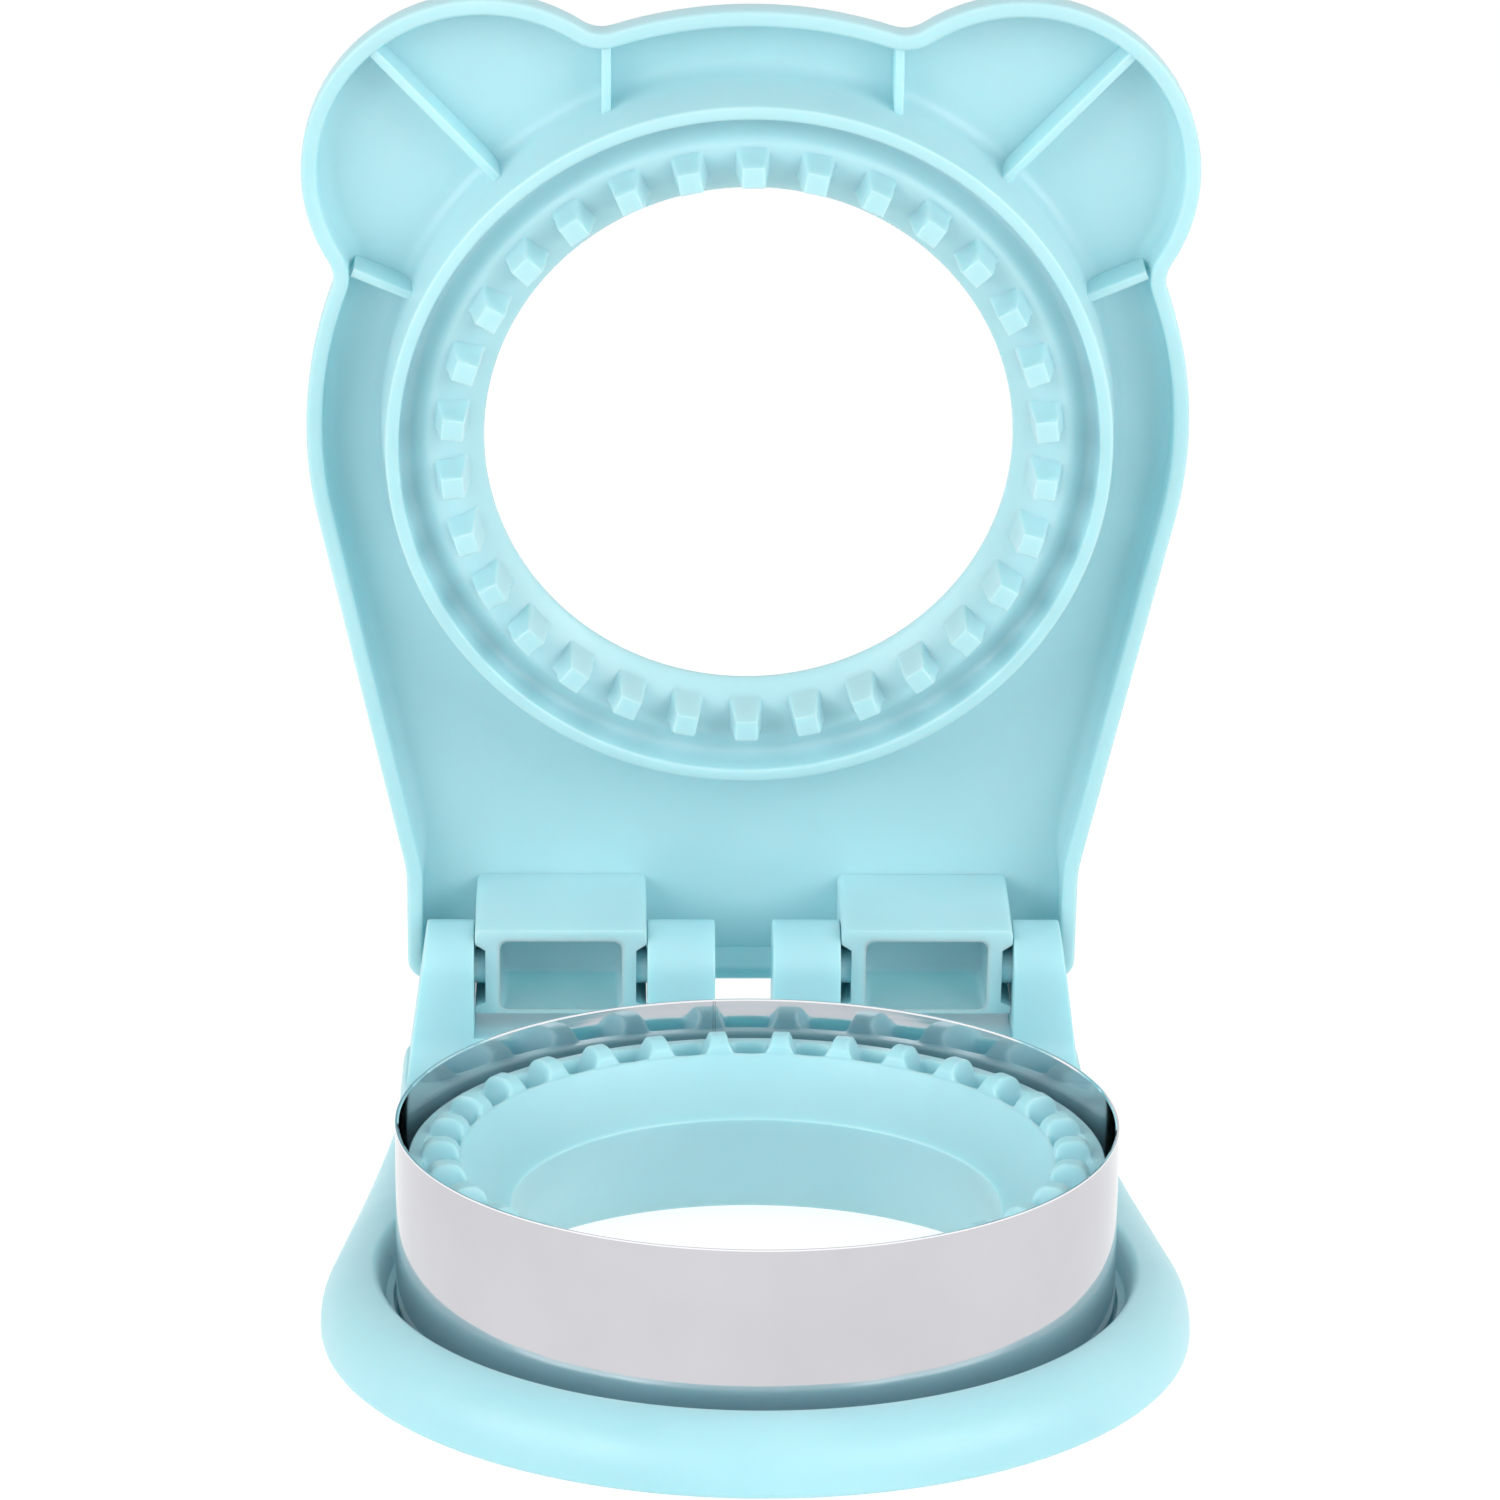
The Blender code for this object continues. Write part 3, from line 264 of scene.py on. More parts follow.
def dress(obj, matrix, material, body, slotName, *nodes):
    weldSlivers(obj.data)
    obj.data.transform(matrix)
    obj.data.materials.clear()
    obj.data.materials.append(material)
    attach(obj, body)
    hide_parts(*nodes)


def newMaterial(name):
    material = bpy.data.materials.new(name)
    material.use_nodes = True
    tree = material.node_tree
    return material, tree, tree.nodes["Principled BSDF"]


plastic = {
    "base": ("#B7E7EF", "#ADE0E8"),   # the two ends of the drift of shade
    "lid": ("#C0E7ED", "#B7E0E6"),
    "flow": 38,               # mm, slow drift of shade left by the melt
    "grain": 0.55,            # mm, spark-eroded skin, really about 0.1 mm and drawn coarser to show
    "roughness": 0.40,
    "roughnessSpread": 0.07,
    "bump": 0.05,
    "grainDepth": 0.2,        # mm
    "smudge": 9,              # mm, uneven gloss
    "ior": 1.50,
    "skin": 0.15,             # thin glossy layer over the satin, where the melt lay on the mould
    "skinRoughness": 0.35,
    "scatter": 2.2,           # mm that light spreads under the surface
    "scatterShare": 0.85,
    "scatterColour": (0.55, 1.0, 0.95),
}


def mouldedAbs(name, shades, seed):
    # Injection-moulded ABS in pale aqua: satin skin off a spark-eroded mould, soft highlights, a little light
    # scattered under the surface, and a slow drift of shade where the melt flowed.
    material, tree, shader = newMaterial(name)
    place = addNode(tree, "ShaderNodeTexCoord")
    shifted = addNode(tree, "ShaderNodeMapping", {"Vector": place.outputs["Object"],
                                                  "Location": (seed, seed / 2, 0)})
    flow = addNode(tree, "ShaderNodeTexNoise", {"Vector": shifted.outputs[0], "Scale": 1000 / plastic["flow"],
                                                "Detail": 3.0, "Roughness": 0.5, "Distortion": 0.6})
    shade = addNode(tree, "ShaderNodeMapRange", {"Value": flow.outputs[0], "From Min": 0.3, "From Max": 0.7})
    colour = addNode(tree, "ShaderNodeMix", {"Factor": shade.outputs[0]}, data_type="RGBA")
    colour.inputs[6].default_value = hexColour(shades[1])
    colour.inputs[7].default_value = hexColour(shades[0])
    tree.links.new(colour.outputs[2], shader.inputs["Base Color"])
    smudge = addNode(tree, "ShaderNodeTexNoise", {"Vector": shifted.outputs[0],
                                                  "Scale": 1000 / plastic["smudge"], "Detail": 4.0})
    rough = addNode(tree, "ShaderNodeMapRange", {"Value": smudge.outputs[0], "From Min": 0.3, "From Max": 0.7,
                                                 "To Min": plastic["roughness"] - plastic["roughnessSpread"],
                                                 "To Max": plastic["roughness"] + plastic["roughnessSpread"]})
    tree.links.new(rough.outputs[0], shader.inputs["Roughness"])
    grain = addNode(tree, "ShaderNodeTexNoise", {"Vector": shifted.outputs[0], "Scale": 1000 / plastic["grain"],
                                                 "Detail": 2.0, "Roughness": 0.6})
    bump = addNode(tree, "ShaderNodeBump", {"Height": grain.outputs[0], "Strength": plastic["bump"],
                                            "Distance": plastic["grainDepth"] / 1000})
    tree.links.new(bump.outputs[0], shader.inputs["Normal"])
    shader.inputs["IOR"].default_value = plastic["ior"]
    shader.inputs["Coat Weight"].default_value = plastic["skin"]
    shader.inputs["Coat Roughness"].default_value = plastic["skinRoughness"]
    shader.inputs["Coat IOR"].default_value = plastic["ior"]
    shader.inputs["Subsurface Weight"].default_value = plastic["scatterShare"]
    shader.inputs["Subsurface Radius"].default_value = plastic["scatterColour"]
    shader.inputs["Subsurface Scale"].default_value = plastic["scatter"] / 1000
    return material


band = {
    "radius": 48.0,
    "wall": 0.5,
    "foot": 4.1,
    "top": 29.5,
    "edge": 0.2,              # ground bevel of the cutting edge, on the inner side
    "burr": 0.04,             # what the grinding leaves of the outer corner
    "columns": 360,
    "weldSide": -4.9,         # butt weld at the back
    "weldHalf": 0.10,
    "weldDepth": 0.12,
}
bandFinish = {
    "colour": "#CDCCD0",
    "stained": "#C7C6CA",
    "ground": "#F6F6F8",      # painted highlight: the ground bevel of the cutting edge, coloured near white so it shows as a bright line
    "roughness": 0.06,
    "streak": 0.35,           # mm, rolling lines round the strip, drawn coarser than the real ones to show
    "streakBump": 0.08,
    "streakDepth": 0.02,      # mm
    "streakStretch": 0.02,    # the lines are 50 times as long as they are high
    "wave": 14,               # mm, slight unevenness of the rolled strip
    "waveBump": 0.25,
    "waveDepth": 0.4,         # mm
    "cloud": 22,              # mm, faint change of shade between colour and stained
}


def rolledSteel(name):
    # Bright cold-rolled 304 stainless strip: nearly a mirror, softened along its length by rolling lines, and
    # bent into a band by hand, so its reflections waver a little.
    material, tree, shader = newMaterial(name)
    shader.inputs["Metallic"].default_value = 1
    place = addNode(tree, "ShaderNodeTexCoord")
    stretch = bandFinish["streakStretch"]
    lines = addNode(tree, "ShaderNodeMapping", {"Vector": place.outputs["Object"],
                                                "Scale": (stretch, stretch, 1)})
    streak = addNode(tree, "ShaderNodeTexNoise", {"Vector": lines.outputs[0],
                                                  "Scale": 1000 / bandFinish["streak"], "Detail": 3.0})
    cloud = addNode(tree, "ShaderNodeTexNoise", {"Vector": place.outputs["Object"],
                                                 "Scale": 1000 / bandFinish["cloud"], "Detail": 4.0})
    stain = addNode(tree, "ShaderNodeMapRange", {"Value": cloud.outputs[0], "From Min": 0.35, "From Max": 0.7})
    colour = addNode(tree, "ShaderNodeMix", {"Factor": stain.outputs[0]}, data_type="RGBA")
    colour.inputs[6].default_value = hexColour(bandFinish["colour"])
    colour.inputs[7].default_value = hexColour(bandFinish["stained"])
    # painted highlight: the heights of the inner bevel get a near-white colour, standing in for the bright line
    # of its reflection
    height = addNode(tree, "ShaderNodeSeparateXYZ", {0: place.outputs["Object"]})
    middle = band["top"] - band["edge"] / 2
    ground = addNode(tree, "ShaderNodeMath", {0: height.outputs["Z"], 1: middle / 1000,
                                              2: (band["edge"] / 2 - 0.01) / 1000}, operation="COMPARE")
    paintedEdgeHighlight = addNode(tree, "ShaderNodeMix", {"Factor": ground.outputs[0]}, data_type="RGBA")
    tree.links.new(colour.outputs[2], paintedEdgeHighlight.inputs[6])
    paintedEdgeHighlight.inputs[7].default_value = hexColour(bandFinish["ground"])
    tree.links.new(paintedEdgeHighlight.outputs[2], shader.inputs["Base Color"])
    rough = addNode(tree, "ShaderNodeMapRange", {"Value": streak.outputs[0], "From Min": 0.3, "From Max": 0.7,
                                                 "To Min": bandFinish["roughness"] * 0.7,
                                                 "To Max": bandFinish["roughness"] * 1.5})
    tree.links.new(rough.outputs[0], shader.inputs["Roughness"])
    wave = addNode(tree, "ShaderNodeTexNoise", {"Vector": place.outputs["Object"],
                                                "Scale": 1000 / bandFinish["wave"], "Detail": 1.0})
    bend = addNode(tree, "ShaderNodeBump", {"Height": wave.outputs[0], "Strength": bandFinish["waveBump"],
                                            "Distance": bandFinish["waveDepth"] / 1000})
    fine = addNode(tree, "ShaderNodeBump", {"Height": streak.outputs[0], "Strength": bandFinish["streakBump"],
                                            "Distance": bandFinish["streakDepth"] / 1000,
                                            "Normal": bend.outputs[0]})
    tree.links.new(fine.outputs[0], shader.inputs["Normal"])
    return material


zinc = {
    "dark": "#AEB4BC",
    "light": "#C9CCD0",
    "cloud": 1.2,             # mm
    "roughness": (0.22, 0.38),
}


def zincPlated(name):
    # Bright zinc plate on a steel screw: bluish grey, a little cloudy, with a fine satin crystal.
    material, tree, shader = newMaterial(name)
    shader.inputs["Metallic"].default_value = 1
    place = addNode(tree, "ShaderNodeTexCoord")
    cloud = addNode(tree, "ShaderNodeTexNoise", {"Vector": place.outputs["Object"],
                                                 "Scale": 1000 / zinc["cloud"], "Detail": 4.0})
    colour = addNode(tree, "ShaderNodeMix", {"Factor": cloud.outputs[0]}, data_type="RGBA")
    colour.inputs[6].default_value = hexColour(zinc["dark"])
    colour.inputs[7].default_value = hexColour(zinc["light"])
    tree.links.new(colour.outputs[2], shader.inputs["Base Color"])
    smooth, dull = zinc["roughness"]
    rough = addNode(tree, "ShaderNodeMapRange", {"Value": cloud.outputs[0], "To Min": smooth, "To Max": dull})
    tree.links.new(rough.outputs[0], shader.inputs["Roughness"])
    return material


basePlastic = mouldedAbs("aquaMouldedAbsBase", plastic["base"], 0.0)
insertPlastic = mouldedAbs("aquaMouldedAbsInsert", plastic["base"], 0.31)
lidPlastic = mouldedAbs("aquaMouldedAbsLid", plastic["lid"], 0.74)
stripSteel = rolledSteel("brightRolledStainless")
screwSteel = zincPlated("zincPlatedScrew")
print("materials ready")


def makeBand():
    bm = bmesh.new()
    inner = band["radius"] - band["wall"]
    edge = band["edge"]
    weld = math.acos(band["weldSide"] / band["radius"])
    half = band["weldHalf"] / band["radius"]
    columns = [(2 * math.pi * i / band["columns"], 0) for i in range(band["columns"])]
    columns = [c for c in columns if abs(c[0] - weld) > 3 * half]
    columns += [(weld - 2 * half, 0), (weld - half, 1), (weld + half, 1), (weld + 2 * half, 0)]
    columns.sort()
    burr = band["burr"]
    profile = [(band["radius"], band["foot"] + edge), (band["radius"], band["top"] - burr),
               (band["radius"] - burr, band["top"]), (inner + edge, band["top"]), (inner, band["top"] - edge),
               (inner, band["foot"] + edge), (inner + edge / 2, band["foot"]),
               (band["radius"] - edge / 2, band["foot"])]
    loops = []
    for radius, height in profile:
        outside = radius > inner + band["wall"] / 2
        loop = []
        for angle, sunk in columns:
            r = radius + (-1 if outside else 1) * sunk * band["weldDepth"]
            loop.append(bm.verts.new((r * math.cos(angle), r * math.sin(angle), height)))
        loops.append(loop)
    skin(bm, loops, closed=True)
    obj = makeObject(bm, "steelBand", 12)
    dress(obj, baseMatrix, stripSteel, "base", "ring_steel", "cutter_ring")


makeBand()
print("steel band made")


teeth = {
    "count": 30,
    "phases": (0, 0.04, 0.075, 0.1, 0.12, 0.14, 0.16, 0.18, 0.2, 0.22, 0.24, 0.26, 0.28, 0.3, 0.33, 0.37, 0.43),
}


def toothColumns(first):
    # (angle from +X towards the front, share of the pitch from the middle of the nearest tooth)
    pitch = 2 * math.pi / teeth["count"]
    steps = sorted([-p for p in teeth["phases"] if p] + list(teeth["phases"]) + [0.5])
    return [(first + (tooth + p) * pitch, p) for tooth in range(teeth["count"]) for p in steps]


def toothedLoops(bm, columns, radii, height):
    pitch = 2 * math.pi / teeth["count"]
    loops = []
    for radius in radii:
        loop = []
        for angle, phase in columns:
            across = abs(phase) * pitch * radius
            z = height(radius, across)
            loop.append(bm.verts.new((radius * math.cos(angle), -radius * math.sin(angle), z)))
        loops.append(loop)
    return loops


insert = {
    "radius": 46.3,
    "wall": 2.0,
    "footRadius": 47.2,
    "foot": 4.1,
    "footHeight": 2.8,
    "hole": 39.0,             # the cone ends here, inside the hole of the seat
    "coneFoot": 1.9,
    "spigot": 39.6,
    "ledge": 24.35,
    "edge": 0.45,
    "toothIn": 39.4,
    "toothOut": 44.6,
    "rise": 2.15,
    "crestHalf": 0.95,        # where a tooth's top starts to round over
    "footHalf": 1.9,
    "domeIn": 2.3,
    "domeOut": 2.2,
    "domeFoot": 0.3,
    "flare": 0.35,            # each side of a tooth's foot is wider by this at its inner end
    "flareReach": 1.4,
    "pocketFloor": 21.4,
    "pocketBow": 0.45,        # how far the pocket's inner end curves in, the lid's teeth need the corners free
    "pocketInset": (0.15, 0.1),   # inner and outer ends
    "pocketSlope": 0.7,
    "pocketSide": (0.62, 0.5),    # where its sides start to rise, and how long they take
    "throat": 32.6,
    "throatHeight": 17.1,
    "throatRound": 0.35,
    "funnelBend": (36.6, 19.6),
    "boss": 3.3,
    "boreTop": 12.3,
}


def dome(share):
    # quarter round: steep at the foot, level at the top
    t = 1 - min(max(share, 0.0), 1.0)
    return math.sqrt(1 - t * t)


def insertHeight(radius, across):
    # tooth: rounded knuckle with flared feet; pocket: scoop between two teeth
    halfPitch = math.pi * radius / teeth["count"]
    inner = radius - insert["toothIn"]
    outer = insert["toothOut"] - radius
    lift = (dome(inner / insert["domeIn"]) * soft(inner / insert["domeFoot"])
            * dome(outer / insert["domeOut"]) * soft(outer / insert["domeFoot"]))
    footHalf = insert["footHalf"] + insert["flare"] * (1 - soft(inner / insert["flareReach"]))
    shoulder = min(max((across - insert["crestHalf"]) / (footHalf - insert["crestHalf"]), 0), 1)
    tooth = 1 - soft(shoulder ** 1.15)
    fromMiddle = (halfPitch - across) / (halfPitch - insert["footHalf"])
    bow = insert["pocketBow"] * min(max(fromMiddle, 0), 1.2) ** 2
    insetIn, insetOut = insert["pocketInset"]
    slope = insert["pocketSlope"]
    deep = soft((inner - insetIn - bow) / slope) * soft((outer - insetOut - bow / 3) / slope)
    sideStart, sideRun = insert["pocketSide"]
    pocket = deep * (1 - soft((fromMiddle - sideStart) / sideRun))
    return insert["ledge"] + insert["rise"] * lift * tooth - (insert["ledge"] - insert["pocketFloor"]) * pocket


def makeInsert():
    bm = bmesh.new()
    columns = toothColumns(math.pi / 2 + math.pi / teeth["count"])
    angles = [angle for angle, phase in columns]
    s = insert
    curve = s["throatRound"]
    topIn = s["toothIn"] - 0.12
    funnel = bezier((s["throat"] + curve, s["throatHeight"] + curve), s["funnelBend"],
                    (topIn - 0.25, s["ledge"] - 0.45), 14)
    below = [(s["hole"] + 0.2, s["coneFoot"]), (s["hole"], s["coneFoot"] + 0.2)]
    below += [(s["throat"] + curve * 0.9, s["throatHeight"] - curve),
              (s["throat"] + curve * 0.25, s["throatHeight"] - curve * 0.55),
              (s["throat"], s["throatHeight"]),
              (s["throat"] + curve * 0.25, s["throatHeight"] + curve * 0.6)]
    profile = below + funnel + [(topIn - 0.12, s["ledge"] - 0.2), (topIn, s["ledge"] - 0.04)]
    loops = [circleLoop(bm, angles, *spot) for spot in profile]
    radii = [s["toothIn"] + i * 0.1 for i in range(3)]
    radii += [s["toothIn"] + 0.3 + i * 0.17 for i in range(28)]
    radii += [s["toothOut"] - 0.1, s["toothOut"]]
    loops += toothedLoops(bm, columns, radii, insertHeight)
    edge = s["edge"]
    for k in range(5):
        t = math.radians(90 * k / 4)
        loops.append(circleLoop(bm, angles, s["radius"] - edge + edge * math.sin(t),
                                s["ledge"] - edge + edge * math.cos(t)))
    step = s["footRadius"] - s["radius"]
    ceiling = s["pocketFloor"] - s["wall"]
    for spot in ((s["radius"], s["foot"] + s["footHeight"]),
                 (s["footRadius"], s["foot"] + s["footHeight"] - step),
                 (s["footRadius"], s["foot"]),
                 (s["radius"] - s["wall"], s["foot"]),
                 (s["radius"] - s["wall"], ceiling),
                 (s["toothIn"], ceiling),
                 (s["throat"] + s["wall"] + 0.7, s["throatHeight"]),
                 (s["hole"] + s["wall"], s["foot"]),
                 (s["spigot"], s["foot"]),
                 (s["spigot"], s["coneFoot"])):
        loops.append(circleLoop(bm, angles, *spot))
    skin(bm, loops, closed=True)
    obj = makeObject(bm, "toothedInsert", 40)
    bosses = []
    bores = []
    for place in screwPlaces():
        bosses.append(uprightBar("boss", place, s["boss"], s["foot"], ceiling + 0.5, 32))
        bores.append(uprightBar("bore", place, screw["radius"] + 0.3, s["foot"] - 4, s["boreTop"], 32))
    combine(obj, joined("bosses", bosses), "UNION", 40)
    combine(obj, joined("bores", bores), "DIFFERENCE", 40)
    dress(obj, baseMatrix, insertPlastic, "base", "insert_plastic", "crimp_insert")


screw = {
    "count": 4,
    "firstDeg": 45.0,
    "circle": 42.2,
    "radius": 1.5,
    "reach": 11.3,            # height of the tip
    "head": 2.8,
    "headHeight": 1.2,
    "under": 1.5,             # height of the head's bearing face
    "crossHalf": 1.6,
    "crossWidth": 0.55,
    "crossDepth": 0.75,
    "thread": 0.22,
    "pitch": 1.1,
    "crossDeg": (23, 71),     # turn of the first screw's recess, and from screw to screw
}


def screwPlaces():
    return [polar(screw["circle"], screw["firstDeg"] + i * 360 / screw["count"]) for i in range(screw["count"])]


def uprightBar(name, place, radius, low, high, sides):
    points = [tuple(place + polar(radius, 360 * i / sides)) for i in range(sides)]
    return prism(name, points, low, high, "z")


def makeScrew(index, place):
    s = screw
    bm = bmesh.new()
    angles = [2 * math.pi * i / 40 for i in range(40)]
    low = s["under"] - s["headHeight"]
    profile = []
    for k in range(6):
        t = math.radians(15 + 75 * k / 5)
        profile.append((s["head"] * math.sin(t), low + 0.9 * s["headHeight"] * (1 - math.cos(t)) ** 1.3))
    profile += [(s["head"], s["under"] - 0.1), (s["head"] - 0.1, s["under"]), (s["radius"], s["under"])]
    z = s["under"] + s["pitch"] / 2
    while z < s["reach"] - s["radius"]:
        profile += [(s["radius"] - s["thread"], z), (s["radius"], z + s["pitch"] / 2)]
        z += s["pitch"]
    profile += [(s["radius"] * 0.3, s["reach"])]
    loops = [circleLoop(bm, angles, *spot) for spot in profile]
    skin(bm, loops)
    bm.faces.new(loops[0])
    bm.faces.new(loops[-1])
    obj = makeObject(bm, "insertScrew%d" % (index + 1), 30)
    arms = []
    for long, wide in ((s["crossHalf"], s["crossWidth"] / 2), (s["crossWidth"] / 2, s["crossHalf"])):
        corners = [(long, wide), (-long, wide), (-long, -wide), (long, -wide)]
        arms.append(prism("arm", corners, low - 1, low + s["crossDepth"], "z"))
    for arm in arms:
        combine(obj, arm, "DIFFERENCE", 30)
    first, more = s["crossDeg"]
    turn = (Matrix.Translation((place.x, place.y, 0))
            @ Matrix.Rotation(math.radians(first + more * index), 4, "Z"))
    dress(obj, baseMatrix @ turn, screwSteel, "base", "screw_steel", "insert_screw_%d" % (index + 1))


makeInsert()
for screwIndex, screwPlace in enumerate(screwPlaces()):
    makeScrew(screwIndex, screwPlace)
print("toothed insert and screws made")


shell = {
    "radius": 58.1,
    "flankDeg": 8.0,
    "rearHalf": 50.0,
    "hip": 25.0,
    "corner": 3.0,
    "rearLedge": 0.5,
    "wall": 2.6,
    "foot": 0.8,
    "swellStart": 1.5,
    "lipHeight": 9.2,
    "swellLoss": 0.85,
    "swellFade": 29.0,
    "groove": 49.5,
    "grooveFloor": 4.9,
    "lipTo": 51.4,
    "lipIn": 50.4,            # where the moat's outer wall would meet the lip's height
    "lipSoft": 0.9,
    "grooveCorner": 0.5,
    "slot": 48.3,
    "seatTop": 3.8,
    "seatUnder": 1.8,
    "seatHole": 39.9,
    "grooveWall": 2.0,
    "deckSkin": 2.8,
    "spacing": 1.0,
}
posts = {
    "outerTop": 45.9,         # half widths
    "outerIn": 39.1,
    "centreIn": 4.2,
    "centreOut": 14.0,
    "fillet": 6.0,
    "edge": 0.3,
    "root": 1.8,
    "wall": 2.0,
    "webTop": 14.5,
    "webSetback": 0.5,
}


def shellOutline():
    rear = hinge["behind"] + hinge["barrel"] + shell["rearLedge"]
    front = arcRun((0, 0), shell["radius"], 90, -shell["flankDeg"], shell["spacing"])
    return mirrorRun(front + flankRun(shell, rear, shell["spacing"]), rear)


def postOuterFace(height):
    top = hinge["height"] + hinge["barrel"]
    return posts["outerTop"] + (shell["rearHalf"] - posts["outerTop"]) * (1 - height / top)


def postProfile():
    behind, barrel, fillet = hinge["behind"], hinge["barrel"], posts["fillet"]
    low = shell["lipHeight"] - posts["root"]
    points = [(behind + barrel, low)]
    for i in range(33):
        spot = polar(barrel, 180 * i / 32)
        points.append((behind + spot.x, hinge["height"] + spot.y))
    for i in range(13):
        spot = polar(fillet, -90 * i / 12)
        points.append((behind - barrel - fillet + spot.x, shell["lipHeight"] + fillet + spot.y))
    return points + [(behind - barrel - fillet, low)]


def boxPiece(name, low, high):
    corners = [(low[0], low[1]), (high[0], low[1]), (high[0], high[1]), (low[0], high[1])]
    return prism(name, corners, low[2], high[2], "z")


def makeShell():
    s = shell
    outline = shellOutline()
    angles = [math.atan2(p.y, p.x) for p, n in outline]
    drop = s["radius"] - s["lipTo"]
    fadeRun = hinge["behind"] - hinge["barrel"] - s["swellFade"]
    shares = [1 - s["swellLoss"] * soft((-p.y - s["swellFade"]) / fadeRun) for p, n in outline]
    under = s["lipHeight"] - s["deckSkin"]
    bm = bmesh.new()
    loops = [outlineLoop(bm, outline, s["wall"], 0)]
    for k in range(4):
        t = math.radians(90 * k / 3)
        loops.append(outlineLoop(bm, outline, s["foot"] * (1 - math.sin(t)), s["foot"] * (1 - math.cos(t))))
    steps = 14
    for k in range(steps + 1):
        t = math.radians(90 * k / steps)
        height = s["swellStart"] + (s["lipHeight"] - s["swellStart"]) * math.sin(t)
        loops.append(outlineLoop(bm, outline, drop * (1 - math.cos(t)), height, shares))
    lean = (s["lipIn"] - s["groove"]) / (s["lipHeight"] - s["grooveFloor"])
    for spot in bezier((s["lipIn"] + s["lipSoft"], s["lipHeight"]), (s["lipIn"], s["lipHeight"]),
                       (s["lipIn"] - lean * 2 * s["lipSoft"], s["lipHeight"] - 2 * s["lipSoft"]), 8):
        loops.append(circleLoop(bm, angles, *spot))
    corner = s["grooveCorner"]
    for spot in ((s["groove"], s["grooveFloor"] + corner),
                 (s["groove"] - 0.3 * corner, s["grooveFloor"] + 0.3 * corner),
                 (s["groove"] - corner, s["grooveFloor"]), (s["slot"] + 0.15, s["grooveFloor"]),
                 (s["slot"], s["grooveFloor"] - 0.15), (s["slot"], s["seatTop"]),
                 (s["seatHole"] + 0.2, s["seatTop"]), (s["seatHole"], s["seatTop"] - 0.2),
                 (s["seatHole"], s["seatUnder"] + 0.2), (s["seatHole"] + 0.2, s["seatUnder"]),
                 (s["groove"] + s["grooveWall"], s["seatUnder"]), (s["groove"] + s["grooveWall"], under)):
        loops.append(circleLoop(bm, angles, *spot))
    loops.append(outlineLoop(bm, outline, s["wall"], under))
    skin(bm, loops, closed=True)
    obj = makeObject(bm, "baseShell")
    addPosts(obj)
    holes = [uprightBar("hole", place, screw["radius"] + 0.3, -4, s["seatTop"] + 4, 32)
             for place in screwPlaces()]
    combine(obj, joined("holes", holes), "DIFFERENCE")
    dress(obj, baseMatrix, basePlastic, "base", "base_plastic", "base_shell")


def addPosts(obj):
    p = posts
    profile = postProfile()
    behind, height, barrel = hinge["behind"], hinge["height"], hinge["barrel"]
    blind = hinge["pinReach"] + 2 * hinge["gap"]
    front, back = behind - barrel, behind + barrel
    coreTop = height - hinge["pin"] - hinge["gap"] - p["wall"] - 0.6
    pieces, cores, holes = [], [], []
    for side in (-1, 1):
        pieces.append(prism("post", profile, side * p["outerIn"],
                            lambda y, z, side=side: side * postOuterFace(z), "x", p["edge"]))
        pieces.append(prism("post", profile, side * p["centreIn"], side * p["centreOut"], "x", p["edge"]))
        outerCore = postOuterFace(coreTop) - p["wall"]
        for a, b in ((p["outerIn"] + p["wall"], outerCore),
                     (p["centreIn"] + p["wall"], p["centreOut"] - p["wall"])):
            low, high = sorted((side * a, side * b))
            cores.append(boxPiece("core", (low, front + p["wall"] + 0.6, -4),
                                  (high, back - p["wall"], coreTop)))
        for face, way in ((p["outerIn"], side), (p["centreOut"], -side)):
            face = side * face
            holes.append(roundBar("hole", hinge["pin"] + hinge["gap"], face - way * 0.3, face + way * blind,
                                  behind, height))
    webBack = back - p["webSetback"]
    fillet = p["webTop"] - shell["lipHeight"]
    low = shell["lipHeight"] - p["root"]
    web = [(webBack, low), (webBack, p["webTop"] - 0.4), (webBack - 0.12, p["webTop"] - 0.12),
           (webBack - 0.4, p["webTop"])]
    for i in range(13):
        spot = polar(fillet, 90 - 90 * i / 12)
        web.append((front - fillet + spot.y, p["webTop"] - spot.x))
    web.append((front - fillet, low))
    reach = p["outerIn"] + p["wall"] / 2
    combine(obj, prism("web", web, -reach, reach, "x"), "UNION")
    combine(obj, joined("posts", pieces), "UNION")
    inside = p["outerIn"] - p["wall"]
    combine(obj, boxPiece("webCore", (-inside, front + p["wall"], -4),
                          (inside, webBack - p["wall"], p["webTop"] - p["wall"])), "DIFFERENCE")
    for name, tools in (("cores", cores), ("pinHoles", holes)):
        combine(obj, joined(name, tools), "DIFFERENCE")


makeShell()
print("base shell made")


